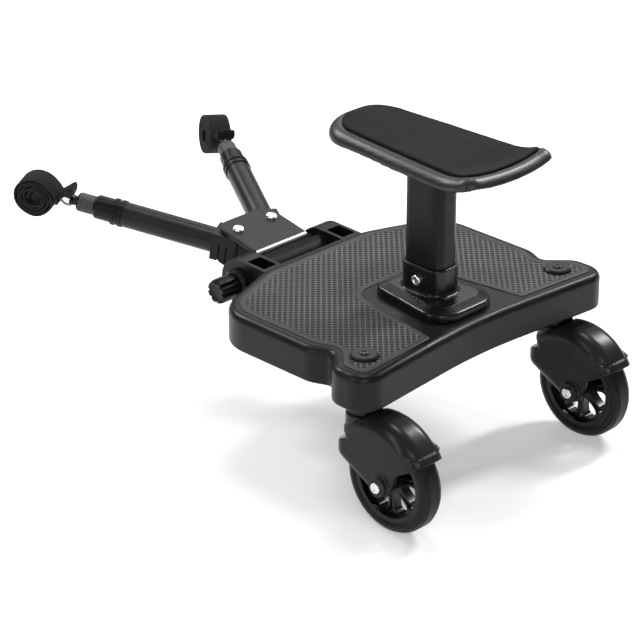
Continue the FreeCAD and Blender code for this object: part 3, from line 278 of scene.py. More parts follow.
def make_weave() -> bpy.types.NodeTree:
    """Build the ribbed weave of a strap from its length and width.

    Returns:
        The group, with the yarns' Height, their painted shade, darker between the yarns, and the Edge where the strap
        is hemmed.
    """
    effect = EffectGroup("strap_weave", {"Yarn": 0.0012, "Half": 0.0125}, ("Height", "Shade", "Edge"))
    nodes = effect.nodes
    strap = nodes.add("ShaderNodeUVMap", uv_map="strap").outputs[0]
    place = nodes.add("ShaderNodeSeparateXYZ", {0: strap})
    rows = nodes.math("DIVIDE", place.outputs["X"], effect.values["Yarn"])
    columns = nodes.math("DIVIDE", place.outputs["Y"], effect.values["Yarn"])
    stagger = nodes.math("MULTIPLY", nodes.math("FLOOR", columns), 0.5)
    along = nodes.math("SINE", nodes.math("MULTIPLY", nodes.math("ADD", rows, stagger), math.tau))
    across = nodes.math("ABSOLUTE", nodes.math("SINE", nodes.math("MULTIPLY", columns, math.pi)))
    height = nodes.math("MULTIPLY", across, nodes.spread(along, -1.0, 1.0, 0.55, 1.0))
    effect.put("Height", height)
    # Painted shade: the yarns' colour is lighter on their crowns and darker in the grooves between them, where shade
    # falls.
    effect.put("Shade", nodes.spread(height, 0.1, 0.9))
    reach = nodes.math("DIVIDE", nodes.math("ABSOLUTE", place.outputs["Y"]), effect.values["Half"])
    effect.put("Edge", nodes.spread(reach, 0.86, 0.97))
    return effect.group


@dataclass
class Effects:
    """The node groups that the finishes share."""

    grain: bpy.types.NodeTree = field(default_factory=make_grain)
    dust: bpy.types.NodeTree = field(default_factory=make_dust)
    scuffs: bpy.types.NodeTree = field(default_factory=make_scuffs)
    weave: bpy.types.NodeTree = field(default_factory=make_weave)


@dataclass(frozen=True)
class Finish:
    """One finish of the board.

    Attributes:
        slot: The record's material slot, or a piece's own finish within one.
        surface: What it shows close to.
        colour: Base colour, linear.
        roughness: Mean roughness.
        grain: Size of the grain.
        relief: Depth of the grain.
        dust: Share of dust on top.
        rubs: Share of handling marks.
        gloss: Level of the mirror part of the light.
        fleck: Share of the grain that shows in the colour.
    """

    slot: str
    surface: Surface
    colour: Triple
    roughness: float
    grain: float = 0.0007
    relief: float = 0.00002
    dust: float = 0.1
    rubs: float = 0.2
    gloss: float = 0.3
    fleck: float = 0.0

    def tone(self, share: float, more: float = 0.0) -> Triple:
        """The base colour, made darker or lighter.

        Args:
            share: What each part is multiplied by.
            more: What is then added.

        Returns:
            The colour.
        """
        return tuple(min(1.0, share * part + more) for part in self.colour)

    def material(self, effects: Effects) -> bpy.types.Material:
        """Build the finish as a material.

        Args:
            effects: The shared node groups.

        Returns:
            The material.
        """
        material = bpy.data.materials.new(self.slot)
        material.use_nodes = True
        material.diffuse_color = (*self.colour, 1.0)
        nodes = Tree(material.node_tree)
        colour, roughness, height = self.layers(nodes, effects)
        bump = nodes.add("ShaderNodeBump", {"Height": height, "Strength": 1.0, "Distance": self.relief})
        shader = nodes.add("ShaderNodeBsdfPrincipled", {
            "Base Color": colour, "Roughness": roughness, "Normal": bump.outputs[0],
            "Metallic": 1.0 if self.surface is Surface.BRIGHT else 0.0, "Specular IOR Level": self.gloss})
        nodes.add("ShaderNodeOutputMaterial", {"Surface": shader.outputs[0]})
        if self.surface in (Surface.WOVEN, Surface.FOAM):
            shader.inputs["Sheen Weight"].default_value = FUZZ_WEIGHT
            shader.inputs["Sheen Roughness"].default_value = FUZZ_ROUGHNESS
        return material

    def layers(self, nodes: Tree, effects: Effects) -> tuple[Any, Any, Any]:
        """Stack grain, rubs, dust and the surface's own pattern, with painted shade in the mat's pits and between the
        webbing's yarns.

        Args:
            nodes: The material's tree.
            effects: The shared node groups.

        Returns:
            Sockets of the colour, the roughness and the relief.
        """
        grain = nodes.group(effects.grain, {"Grain": self.grain, "Mottle": MOTTLE_SIZE})
        dust = nodes.group(effects.dust, {"Amount": self.dust, "Patch": DUST_PATCH})["Mask"]
        rubs = nodes.group(effects.scuffs, {"Amount": self.rubs, "Length": RUB_LENGTH})["Mask"]
        dark, light = self.tone(0.82), self.tone(1.22)
        colour = nodes.blend(nodes.spread(grain["Mottle"], 0.3, 0.7), dark, light)
        height = grain["Height"]
        if self.fleck:
            speck = nodes.math("MULTIPLY", nodes.spread(height, 0.5, 1.1), self.fleck)
            colour = nodes.blend(speck, colour, self.tone(2.2))
        rough = nodes.spread(grain["Mottle"], 0.25, 0.75, self.roughness - 0.05, self.roughness + 0.05)
        if self.surface is Surface.PITTED:
            pits = self.pits(nodes)
            # Painted shade: the pits are filled with a twentieth of the mat's colour, for the shade that falls in
            # them.
            colour = nodes.blend(pits, colour, self.tone(0.05))
            height = nodes.math("SUBTRACT", nodes.math("MULTIPLY", height, 0.06), pits)
        if self.surface is Surface.WOVEN:
            weave = nodes.group(effects.weave, {"Yarn": self.grain})
            # Painted shade in the weave: darker between the yarns, lighter on their crowns.
            colour = nodes.blend(weave["Shade"], dark, self.tone(1.5))
            colour = nodes.blend(weave["Edge"], colour, self.tone(3.0))
            height = weave["Height"]
        colour = nodes.blend(rubs, colour, self.tone(1.8, 0.01))
        colour = nodes.blend(dust, colour, DUST_COLOUR)
        rough = nodes.math("ADD", rough, nodes.math("MULTIPLY", rubs, 0.12))
        return colour, rough, height

    @staticmethod
    def pits(nodes: Tree, pitch: float = 0.0054) -> bpy.types.NodeSocket:
        """Rows of square pits, laid corner-wise over faces that look up.

        Args:
            nodes: The material's tree.
            pitch: From pit to pit, along either diagonal of the deck.

        Returns:
            The pits' mask.
        """
        turned = nodes.add("ShaderNodeMapping", {"Vector": object_place(nodes),
                                                 "Rotation": (0.0, 0.0, math.radians(45))})
        place = nodes.add("ShaderNodeSeparateXYZ", {0: turned.outputs[0]})
        pit = None
        for axis in "XY":
            share = nodes.math("FRACT", nodes.math("DIVIDE", place.outputs[axis], pitch))
            away = nodes.math("ABSOLUTE", nodes.math("SUBTRACT", share, 0.5))
            inside = nodes.spread(away, 0.28, 0.40, 1.0, 0.0)
            pit = inside if pit is None else nodes.math("MULTIPLY", pit, inside)
        return nodes.math("MULTIPLY", pit, nodes.spread(facing_up(nodes), 0.9, 0.99))


FINISHES = (
    Finish("deck_plastic", Surface.MOULDED, (0.0050, 0.0050, 0.0052), 0.37, dust=0.008, gloss=0.24),
    Finish("grip_rubber", Surface.PITTED, (0.108, 0.108, 0.108), 0.60, relief=0.0007, dust=0.02),
    Finish("seat_plastic", Surface.MOULDED, (0.0135, 0.0135, 0.0138), 0.40, relief=0.000004, dust=0.006, gloss=0.5),
    Finish("foam", Surface.FOAM, (0.0150, 0.0150, 0.0153), 0.90, grain=0.0009, relief=0.00005, dust=0.01, gloss=0.12),
    Finish("bright_steel", Surface.BRIGHT, (0.86, 0.86, 0.87), 0.22, relief=0.000001, dust=0.0, rubs=0.1),
    Finish("fitting_plastic", Surface.MOULDED, (0.0075, 0.0075, 0.0078), 0.34, dust=0.01, gloss=0.2),
    Finish("black_steel", Surface.PAINTED, (0.0050, 0.0050, 0.0052), 0.20, relief=0.000008, dust=0.01, gloss=0.5),
    Finish("tube_paint", Surface.PAINTED, (0.0150, 0.0150, 0.0154), 0.34, relief=0.00001, dust=0.01, gloss=0.26),
    Finish("grey_tube", Surface.PAINTED, (0.036, 0.036, 0.037), 0.50, grain=0.0014, relief=0.00012, fleck=0.8),
    Finish("tyre_rubber", Surface.RUBBER, (0.0120, 0.0120, 0.0123), 0.42, relief=0.00001, dust=0.02, gloss=0.16),
    Finish("wheel_plastic", Surface.MOULDED, (0.0065, 0.0065, 0.0068), 0.26, relief=0.000006, dust=0.01, gloss=0.3),
    Finish("caster_plastic", Surface.MOULDED, (0.0190, 0.0190, 0.0194), 0.28, relief=0.000008, dust=0.01, gloss=0.2),
    Finish("pressed_cover", Surface.PAINTED, (0.0270, 0.0270, 0.0276), 0.42, relief=0.000006, dust=0.02, gloss=0.2),
    Finish("post_plastic", Surface.MOULDED, (0.0085, 0.0085, 0.0088), 0.30, relief=0.000005, dust=0.006, gloss=0.17),
    # Painted shade: a darker, duller copy of the fitting plastic for the hinge block, which lies in shade under the
    # cover plate.
    Finish("dull_plastic", Surface.MOULDED, (0.0060, 0.0060, 0.0062), 0.45, dust=0.01, gloss=0.08),
    Finish("base_plastic", Surface.MOULDED, (0.0050, 0.0050, 0.0052), 0.26, relief=0.000005, dust=0.006, gloss=0.34),
    Finish("ring_wire", Surface.BRIGHT, (0.30, 0.30, 0.31), 0.34, relief=0.000001, dust=0.0, rubs=0.1),
    # Painted highlight: bright metal laid on the faces of the cover's roll that look towards the lamps.
    Finish("rolled_edge", Surface.BRIGHT, (0.36, 0.36, 0.37), 0.36, relief=0.000001, dust=0.0, rubs=0.3),
    Finish("mat_rim", Surface.RUBBER, (0.0500, 0.0500, 0.0500), 0.50, relief=0.00001, dust=0.02),
    Finish("webbing", Surface.WOVEN, (0.0080, 0.0080, 0.0082), 0.90, grain=0.0011, relief=0.0003, dust=0.0),
)


class Palette:
    """All the finishes as materials, by slot."""

    def __init__(self) -> None:
        """Build each finish once."""
        effects = Effects()
        self.materials = {finish.slot: finish.material(effects) for finish in FINISHES}

    def dress(self, piece: bpy.types.Object, slot: str) -> None:
        """Give a piece one finish.

        Args:
            piece: The piece.
            slot: The finish's slot.
        """
        piece.data.materials.clear()
        piece.data.materials.append(self.materials[slot])


# Mesh building


def new_piece(name: str, mesh: bmesh.types.BMesh, body: str) -> bpy.types.Object:
    """Turn a mesh into a piece that rides on a body.

    Args:
        name: The piece's name.
        mesh: Its mesh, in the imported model's frame; it is freed.
        body: The body it rides on.

    Returns:
        The piece.
    """
    bmesh.ops.recalc_face_normals(mesh, faces=mesh.faces)
    data = bpy.data.meshes.new(name)
    mesh.to_mesh(data)
    mesh.free()
    for face in data.polygons:
        face.use_smooth = True
    piece = bpy.data.objects.new(name, data)
    bpy.context.scene.collection.objects.link(piece)
    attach(piece, body)
    return piece


def apply_modifiers(piece: bpy.types.Object) -> None:
    """Bake a piece's modifiers into its mesh.

    Args:
        piece: The piece.
    """
    graph = bpy.context.evaluated_depsgraph_get()
    data = bpy.data.meshes.new_from_object(piece.evaluated_get(graph))
    piece.modifiers.clear()
    piece.data = data


def even_copy(node: str, name: str, body: str, voxel: float) -> bpy.types.Object:
    """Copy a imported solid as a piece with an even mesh.

    Args:
        node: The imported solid.
        name: The piece's name.
        body: The body it rides on.
        voxel: Size of the mesh.

    Returns:
        The piece.
    """
    mesh = bmesh.new()
    mesh.from_mesh(frame["nodes"][node].data)
    piece = new_piece(name, mesh, body)
    remesh = piece.modifiers.new("even", "REMESH")
    remesh.mode = "VOXEL"
    remesh.voxel_size = voxel
    apply_modifiers(piece)
    return piece


def mark_skin(piece: bpy.types.Object, free: Callable[[Vector], bool]) -> None:
    """Mark the points of a piece that may move.

    Args:
        piece: The piece.
        free: Says whether the point at a place may move.
    """
    skin = piece.vertex_groups.new(name="skin")
    skin.add([vertex.index for vertex in piece.data.vertices if free(vertex.co)], 1.0, "REPLACE")


def soften(piece: bpy.types.Object, passes: int) -> None:
    """Smooth the marked points of a piece.

    Args:
        piece: The piece.
        passes: Number of smoothing passes.
    """
    smooth = piece.modifiers.new("soft", "SMOOTH")
    smooth.factor = 0.5
    smooth.iterations = passes
    smooth.vertex_group = "skin"
    apply_modifiers(piece)
    for face in piece.data.polygons:
        face.use_smooth = True


def beside(place: Vector, low: Vector, high: Vector, margin: float) -> bool:
    """Whether a place lies outside a box's plan, widened by a margin."""
    return not (low.x - margin < place.x < high.x + margin and low.y - margin < place.y < high.y + margin)


def close_rings(mesh: bmesh.types.BMesh, rings: Sequence[Sequence[bmesh.types.BMVert]]) -> None:
    """Join closed rings of points in a row and cap both ends.

    Args:
        mesh: The mesh to fill.
        rings: The rings, each with as many points.
    """
    for first, second in zip(rings, rings[1:]):
        for k in range(len(first)):
            n = (k + 1) % len(first)
            mesh.faces.new((first[k], first[n], second[n], second[k]))
    mesh.faces.new(rings[0])
    mesh.faces.new(rings[-1])


def joint(name: str) -> dict[str, Any]:
    """The record's joint of a name."""
    return next(entry for entry in frame["joints"] if entry["name"] == name)


def upright(name: str) -> Vector:
    """Axis of a joint, turned to point up."""
    axis = Vector(joint(name)["axis"]).normalized()
    return axis if axis.z > 0 else -axis


@dataclass
class Saddle:
    """The moulded saddle and its foam pad, both bent to the seat's hollows.

    Attributes:
        voxel: Size of the mesh that each piece is shaped from.
        crown: How far the nose swells across its middle.
        dish: How far the tail sinks across its middle.
        corner: How far the tail's corners lift.
        nose_start: Where the nose begins to swell, from the caster line.
        tail_start: Where the tail begins to sink, from the caster line.
        middle_half: Half width of the saddle, for the share across.
        flare: How far the shell's rim swells outwards.
        top: Upward part of the normal from which the rim no longer swells.
        nose_run: Length over which the nose swells.
        tail_run: Length over which the tail sinks.
        passes: Number of smoothing passes.
    """

    voxel: float = 0.0012
    crown: float = 0.0030
    dish: float = 0.0034
    corner: float = 0.0020
    nose_start: float = 0.096
    tail_start: float = -0.004
    middle_half: float = 0.052
    flare: float = 0.0028
    top: float = 0.9
    nose_run: float = 0.05
    tail_run: float = 0.045
    passes: int = 6

    def swell(self, shell: bpy.types.Object) -> None:
        """Swell the flank of the shell's rim outwards, fullest below its top edge.

        Args:
            shell: The shell.
        """
        shell.data.update()
        pushed = []
        for vertex in shell.data.vertices:
            normal = vertex.normal
            flat = Vector((normal.x, normal.y, 0.0))
            pushed.append(flat * self.flare * min(1.0, max(0.0, self.top - normal.z)))
        group = shell.vertex_groups["skin"].index
        for vertex, push in zip(shell.data.vertices, pushed):
            if any(entry.group == group for entry in vertex.groups):
                vertex.co += push

    def lift(self, place: Vector, caster_y: float) -> float:
        """How far a point of the saddle rises.

        Args:
            place: The point.
            caster_y: The caster line.

        Returns:
            The rise, below zero where the seat sinks.
        """
        along = place.y - caster_y
        across = min(1.0, abs(place.x) / self.middle_half)
        nose = min(1.0, max(0.0, (along - self.nose_start) / self.nose_run))
        tail = min(1.0, max(0.0, (self.tail_start - along) / self.tail_run))
        nose, tail = (part * part * (3 - 2 * part) for part in (nose, tail))
        swell = self.crown * nose * (1 - 1.6 * across ** 2)
        sink = tail * (self.corner * across ** 3 - self.dish * (1 - across ** 2))
        return swell + sink

    def shape(self, node: str, name: str, slot: str, palette: Palette) -> bpy.types.Object:
        """Shape one piece from its plain solid.

        Args:
            node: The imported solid.
            name: The piece's name.
            slot: The record's slot.
            palette: The materials.

        Returns:
            The piece.
        """
        piece = even_copy(node, name, "board", self.voxel)
        low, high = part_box("seat_post")
        mark_skin(piece, lambda place: place.z > high.z + self.voxel or beside(place, low, high, 3 * self.voxel))
        soften(piece, self.passes)
        caster_y = joint("caster_swivel_left")["pos_m"][1]
        if node == "seat_shell":
            self.swell(piece)
        for vertex in piece.data.vertices:
            vertex.co.z += self.lift(vertex.co, caster_y)
        palette.dress(piece, slot)
        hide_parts(node)
        return piece

    def build(self, palette: Palette) -> list[bpy.types.Object]:
        """Shape the saddle's shell and pad.

        Args:
            palette: The materials.

        Returns:
            The shell and the pad.
        """
        shell = self.shape("seat_shell", "saddle_shell", "seat_plastic", palette)
        pad = self.shape("seat_pad", "foam_pad", "foam", palette)
        return [shell, pad]


class Station(NamedTuple):
    """One cross-section of the strap's gathered neck, in the arm's frame.

    Attributes:
        along: Distance along the arm.
        half: Half width.
        rise: Half thickness.
        level: Height of its middle.
    """

    along: float
    half: float
    rise: float
    level: float


@dataclass
class RolledStrap:
    """A hook-and-loop strap wound up on itself, gathered where it holds its wire ring.

    Attributes:
        width: Width of the webbing.
        thick: Thickness of the webbing.
        bore: Radius of the innermost turn.
        pitch: Distance from turn to turn.
        turns: Number of turns.
        drop: How far the roll hangs below the arm's line.
        hang: How much lower the right-hand roll hangs.
        reach: From the arm's pivot to the roll's middle, along the arm.
        draw: How far the outer turn is drawn towards the neck.
        step: Length of one piece of the strap's mesh.
        slack: How far the inner turns stray from a true spiral.
        waves: How often they stray within a turn.
        drift: How fast that changes from turn to turn.
        firm: Share of the slack that is gone at the outer turn.
        square: Power that makes the neck's section squarer than an oval.
        pleat: Depth of the neck's pleats.
        pleats: Number of pleats round the neck.
        facets: Number of points round the neck.
        neck: Cross-sections of the neck and its bow, from the roll to the tube.
    """

    width: float = 0.025
    thick: float = 0.0025
    bore: float = 0.0072
    pitch: float = 0.0034
    turns: float = 4.55
    drop: float = 0.005
    hang: float = 0.006
    reach: float = 0.2239
    draw: float = 0.0035
    step: float = 0.0018
    slack: float = 0.0022
    waves: float = 1.4
    drift: float = 0.4
    firm: float = 0.75
    square: float = 0.6
    pleat: float = 0.0007
    pleats: int = 7
    facets: int = 40
    neck: tuple[Station, ...] = (
        Station(0.2062, 0.0118, 0.0060, -0.0040),
        Station(0.2025, 0.0108, 0.0058, -0.0024),
        Station(0.1990, 0.0078, 0.0050, 0.0012),
        Station(0.1955, 0.0061, 0.0045, 0.0048),
        Station(0.1920, 0.0068, 0.0052, 0.0076),
        Station(0.1885, 0.0088, 0.0064, 0.0098),
        Station(0.1862, 0.0104, 0.0072, 0.0108),
        Station(0.1842, 0.0104, 0.0068, 0.0110),
        Station(0.1832, 0.0094, 0.0046, 0.0110),
    )

    def frame_of(self, side: Side) -> Matrix:
        """Frame of an arm: X across, Y along the tube, Z up, from its pivot.

        Args:
            side: Which arm.

        Returns:
            The frame's matrix.
        """
        swing, slide = joint(f"arm_swing_{side.word}"), joint(f"tube_slide_{side.word}")
        up, along = upright(swing["name"]), Vector(slide["axis"]).normalized()
        across = along.cross(up).normalized()
        matrix = Matrix((across, along, up)).transposed().to_4x4()
        matrix.translation = Vector(swing["pos_m"])
        return matrix

    def spiral(self, side: Side) -> list[Vector]:
        """Middle line of the roll, seen along its axis.

        Args:
            side: Which arm, which sets the irregularity.

        Returns:
            Points in the arm's frame, from inside out.
        """
        points = []
        low = -self.drop - (self.hang if side is Side.RIGHT else 0.0)
        angle, sweep = 0.0, math.tau * self.turns
        while angle < sweep:
            radius = self.bore + self.pitch * angle / math.tau
            way = angle - sweep + math.pi
            turned = Vector((math.cos(way) * self.waves, math.sin(way) * self.waves, angle * self.drift + side.value))
            loose = 1 - self.firm * angle / sweep
            radius += self.slack * loose * noise.noise(turned)
            towards_neck = max(0.0, -math.cos(way)) ** 6
            radius += self.draw * towards_neck * (angle / sweep) ** 2
            points.append(Vector((0.0, self.reach + radius * math.cos(way), low + radius * math.sin(way))))
            angle += self.step / radius
        return points

    def band(self, mesh: bmesh.types.BMesh, matrix: Matrix, path: Sequence[Vector]) -> None:
        """Sweep the flat webbing along the roll.

        Args:
            mesh: The mesh to fill.
            matrix: The arm's frame.
            path: The roll's middle line.
        """
        half, rise = self.width / 2, self.thick / 2
        corners = ((-half, -rise * 0.5), (-half, rise * 0.5), (-half + rise, rise), (half - rise, rise),
                   (half, rise * 0.5), (half, -rise * 0.5), (half - rise, -rise), (-half + rise, -rise))
        rings = []
        for i, point in enumerate(path):
            ahead, behind = path[min(i + 1, len(path) - 1)], path[max(i - 1, 0)]
            outward = (ahead - behind).normalized().cross(Vector((1, 0, 0))).normalized()
            rings.append([point + Vector((x, 0, 0)) + outward * y for x, y in corners])
        self.skin(mesh, matrix, rings, [x for x, _ in corners])

    def gather(self, mesh: bmesh.types.BMesh, matrix: Matrix) -> None:
        """Draw the webbing together into the pleated neck and spread it into the bow.

        Args:
            mesh: The mesh to fill.
            matrix: The arm's frame.
        """
        rings = []
        for number, station in enumerate(self.neck):
            ring = []
            for k in range(self.facets):
                turn = math.tau * k / self.facets
                fold = 1 + self.pleat / station.rise * math.cos(self.pleats * turn + number * 0.35)
                cosine, sine = math.cos(turn), math.sin(turn)
                x = station.half * math.copysign(abs(cosine) ** self.square, cosine)
                z = station.rise * fold * math.copysign(abs(sine) ** self.square, sine)
                ring.append(Vector((x, station.along, station.level + z)))
            rings.append(ring)
        self.skin(mesh, matrix, rings, [point.x for point in rings[0]])

    @staticmethod
    def skin(mesh: bmesh.types.BMesh, matrix: Matrix, rings: Sequence[Sequence[Vector]],
             across: Sequence[float]) -> None:
        """Close a row of rings into a skin with the strap's own length and width as its map.

        Args:
            mesh: The mesh to fill.
            matrix: The arm's frame.
            rings: Points of each ring, in the arm's frame.
            across: Place across the strap of each point of a ring.
        """
        layer = mesh.loops.layers.uv["strap"]
        made = [[mesh.verts.new(matrix @ point) for point in ring] for ring in rings]
        start = 0.0
        for i in range(len(rings) - 1):
            end = start + (rings[i + 1][0] - rings[i][0]).length
            for k in range(len(across)):
                n = (k + 1) % len(across)
                face = mesh.faces.new((made[i][k], made[i][n], made[i + 1][n], made[i + 1][k]))
                for loop, uv in zip(face.loops, ((start, across[k]), (start, across[n]),
                                                 (end, across[n]), (end, across[k]))):
                    loop[layer].uv = uv
            start = end
        mesh.faces.new(made[0])
        mesh.faces.new(made[-1])

    def build(self, side: Side, palette: Palette) -> bpy.types.Object:
        """Make the whole strap.

        Args:
            side: Which arm.
            palette: The materials.

        Returns:
            The strap.
        """
        matrix = self.frame_of(side)
        mesh = bmesh.new()
        mesh.loops.layers.uv.new("strap")
        self.band(mesh, matrix, self.spiral(side))
        self.gather(mesh, matrix)
        piece = new_piece(f"rolled_strap_{side.word}", mesh, f"ring_{side.word}")
        palette.dress(piece, "webbing")
        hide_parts(f"strap_{side.word}")
        return piece


class HeadSize(NamedTuple):
    """Sizes of a screw head.

    Attributes:
        radius: Its radius.
        height: Its height.
        socket: Radius of the socket's corners.
        depth: Depth of the socket.
        sunk: How far its underside lies below the end of the bolt.
    """

    radius: float
    height: float
    socket: float
    depth: float
    sunk: float = 0.0


@dataclass
class SocketHead:
    """A round screw head with a six-sided socket, seated over a plain bolt end.

    Attributes:
        name: The head's name.
        body: The body it rides on.
        seat: Middle of its underside.
        axis: Its outward direction.
        size: Its sizes.
        slot: The record's slot.
        facets: Number of points round it.
    """

    name: str
    body: str
    seat: Vector
    axis: Vector
    size: HeadSize
    slot: str = "bright_steel"
    facets: int = 48

    def build(self, palette: Palette) -> bpy.types.Object:
        """Turn the head and sink its socket.

        Args:
            palette: The materials.

        Returns:
            The head.
        """
        radius, height, socket, depth, _ = self.size
        round_off = height * 0.45
        turn = self.axis.normalized().to_track_quat("Z", "Y").to_matrix()
        profile = [(radius, 0.0), (radius, height - round_off)]
        for step in range(1, 6):
            angle = math.pi / 2 * step / 5
            profile.append((radius - round_off * (1 - math.cos(angle)), height - round_off * (1 - math.sin(angle))))
        mesh = bmesh.new()
        shares = [k / self.facets for k in range(self.facets)]
        rings = [[Vector((reach * math.cos(math.tau * share), reach * math.sin(math.tau * share), level))
                  for share in shares] for reach, level in profile]
        for grow, level in ((1.06, height), (1.0, height - depth * 0.15), (0.98, height - depth)):
            rings.append([self.corner(share) * socket * grow + Vector((0, 0, level)) for share in shares])
        made = [[mesh.verts.new(self.seat + turn @ point) for point in ring] for ring in rings]
        close_rings(mesh, made)
        piece = new_piece(self.name, mesh, self.body)
        piece.data.set_sharp_from_angle(angle=CRISP_EDGE)
        palette.dress(piece, self.slot)
        return piece

    @staticmethod
    def corner(share: float) -> Vector:
        """Point on a six-sided outline of unit reach.

        Args:
            share: Share of the way round.

        Returns:
            The point.
        """
        side, rest = divmod(share * 6, 1)
        ends = [Vector((math.cos(math.tau * (side + i) / 6), math.sin(math.tau * (side + i) / 6), 0))
                for i in (0, 1)]
        return ends[0].lerp(ends[1], rest)


@dataclass
class Fasteners:
    """The screw heads that show their sockets.

    Attributes:
        seat: Size of the seat bolt's head.
        pivot: Size of the arm pivots' heads.
        pivot_rise: From the pivots' middle to the top of the cover plate.
        axle: Size of the wheel bolts' heads.
        cap: Size of the caster caps' screws.
    """

    seat: HeadSize = HeadSize(0.0057, 0.0031, 0.0029, 0.0006, sunk=0.0024)
    pivot: HeadSize = HeadSize(0.0062, 0.0033, 0.0031, 0.0006)
    pivot_rise: float = 0.0196
    axle: HeadSize = HeadSize(0.0056, 0.0029, 0.0027, 0.0006, sunk=0.0022)
    cap: HeadSize = HeadSize(0.0047, 0.0030, 0.0025, 0.0005, sunk=0.0024)

    def build(self, palette: Palette) -> list[bpy.types.Object]:
        """Seat every head.

        Args:
            palette: The materials.

        Returns:
            The heads.
        """
        left, up = Vector((-1, 0, 0)), Vector((0, 0, 1))
        heads = [self.on_bolt("seat_bolt_socket", "board", "seat_bolt", left, self.seat)]
        for side in Side:
            word, swing = side.word, joint(f"arm_swing_{side.word}")
            axis = upright(swing["name"])
            heads += [
                SocketHead(f"pivot_socket_{word}", "hinge_block", Vector(swing["pos_m"]) + axis * self.pivot_rise,
                           axis, self.pivot),
                self.on_bolt(f"axle_socket_{word}", f"caster_{word}", f"wheel_axle_{word}", left, self.axle),
                self.on_bolt(f"cap_socket_{word}", f"caster_{word}", f"cap_screw_{word}", up, self.cap,
                             "black_steel")]
        return [head.build(palette) for head in heads]

    @staticmethod
    def on_bolt(name: str, body: str, bolt: str, axis: Vector, size: HeadSize,
                slot: str = "bright_steel") -> SocketHead:
        """Seat a head on the end of a packed bolt.

        Args:
            name: The head's name.
            body: The body it rides on.
            bolt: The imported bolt.
            axis: The end's direction, along X or Z.
            size: The head's sizes.
            slot: The record's slot.

        Returns:
            The head.
        """
        low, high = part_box(bolt)
        middle = (low + high) / 2
        reach = abs(axis.dot(high - low)) / 2 - size.sunk
        return SocketHead(name, body, middle + axis * reach, axis, size, slot)


@dataclass
class PlateRoll:
    """The rolled edge of the hinge cover, on the deck's side, with a painted highlight strip along it.

    Attributes:
        half: Half length of the edge.
        place: From the hinge axle to the roll's middle, along the block.
        level: From the hinge axle to the roll's middle, upward.
        radius: The roll's radius.
        taper: Length of each tapered end.
        shrink: Share of the radius that is left at the ends.
        start: Turn at which the roll leaves the plate, from forward over up, in degrees.
        turn: From point to point round it, in degrees.
        facets: Number of points round it.
        bright: Turn of the roll's painted highlight, a strip of bright metal on the faces that look between these
            turns, from forward over up, in degrees.
    """

    half: float = 0.0370
    place: float = 0.0145
    level: float = 0.0147
    radius: float = 0.0050
    taper: float = 0.0012
    shrink: float = 0.72
    start: float = 70.0
    turn: float = 12.5
    facets: int = 13
    bright: tuple[float, float] = (95.0, 160.0)

    def build(self, palette: Palette) -> bpy.types.Object:
        """Sweep the roll along the plate's edge.

        Args:
            palette: The materials.

        Returns:
            The rolled edge.
        """
        up = upright("arm_swing_left")
        sideways = Vector((1, 0, 0))
        along = up.cross(sideways).normalized()
        middle = Vector(joint("arm_fold")["pos_m"])
        middle.x = 0.0
        mesh = bmesh.new()
        made = []
        ends = (-self.half, -self.half + self.taper, self.half - self.taper, self.half)
        for x, shrink in zip(ends, (self.shrink, 1.0, 1.0, self.shrink)):
            ring = []
            for step in range(self.facets):
                angle = math.radians(self.start + self.turn * step)
                reach = self.radius * shrink
                ring.append(mesh.verts.new(middle + sideways * x
                                           + along * (self.place + reach * math.cos(angle))
                                           + up * (self.level + reach * math.sin(angle))))
            made.append(ring)
        close_rings(mesh, made)
        piece = new_piece("cover_roll", mesh, "hinge_block")
        piece.data.set_sharp_from_angle(angle=CRISP_EDGE)
        palette.dress(piece, "pressed_cover")
        # Painted highlight: faces of the roll that look up and back towards the lamps get the bright metal finish.
        piece.data.materials.append(palette.materials["rolled_edge"])
        for face in piece.data.polygons:
            turn = math.degrees(math.atan2(face.normal.dot(up), face.normal.dot(along)))
            if self.bright[0] < turn < self.bright[1] and abs(face.normal.x) < 0.5:
                face.material_index = 1
        return piece


@dataclass
class StarKnob:
    """The lobed clamping knob on the hinge axle.

    Attributes:
        radius: Radius over the lobes.
        lobes: Number of lobes.
        groove: Depth of the grooves between them.
        bore: Radius of the hole for the axle.
        blind: Share of the length that the hole reaches.
        facets: Number of points on each lobe.
        profile: Share of the length, share of the radius and share of the grooves, from the collar out.
    """

    radius: float = 0.0130
    lobes: int = 8
    groove: float = 0.0030
    bore: float = 0.00505
    blind: float = 0.85
    facets: int = 14
    profile: tuple[tuple[float, float, float], ...] = (
        (0.00, 0.80, 0.0), (0.05, 0.95, 0.3), (0.10, 1.00, 1.0), (0.45, 1.00, 1.0), (0.84, 1.00, 1.0),
        (0.93, 0.97, 1.0), (0.985, 0.90, 0.9), (1.00, 0.80, 0.7), (0.99, 0.66, 0.4), (0.955, 0.56, 0.1),
        (0.945, 0.30, 0.0),
    )

    def build(self, palette: Palette) -> bpy.types.Object:
        """Shape the knob and its bore.

        Args:
            palette: The materials.

        Returns:
            The knob.
        """
        low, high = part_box("hinge_knob")
        middle = (low + high) / 2
        length = high.x - low.x
        count = self.lobes * self.facets
        rings = [(self.blind, self.bore * 0.2, 0.0), (self.blind, self.bore, 0.0), (0.0, self.bore, 0.0)]
        rings += [(share, self.radius * part, self.groove * depth) for share, part, depth in self.profile]
        mesh = bmesh.new()
        made = []
        for share, radius, depth in rings:
            ring = []
            for k in range(count):
                turn = math.tau * k / count
                reach = radius - depth * max(0.0, math.cos(self.lobes * turn)) ** 2
                ring.append(mesh.verts.new((high.x - share * length, middle.y + reach * math.cos(turn),
                                            middle.z + reach * math.sin(turn))))
            made.append(ring)
        close_rings(mesh, made)
        piece = new_piece("star_knob", mesh, "knob")
        piece.data.set_sharp_from_angle(angle=math.radians(50))
        palette.dress(piece, "fitting_plastic")
        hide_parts("hinge_knob")
        return piece


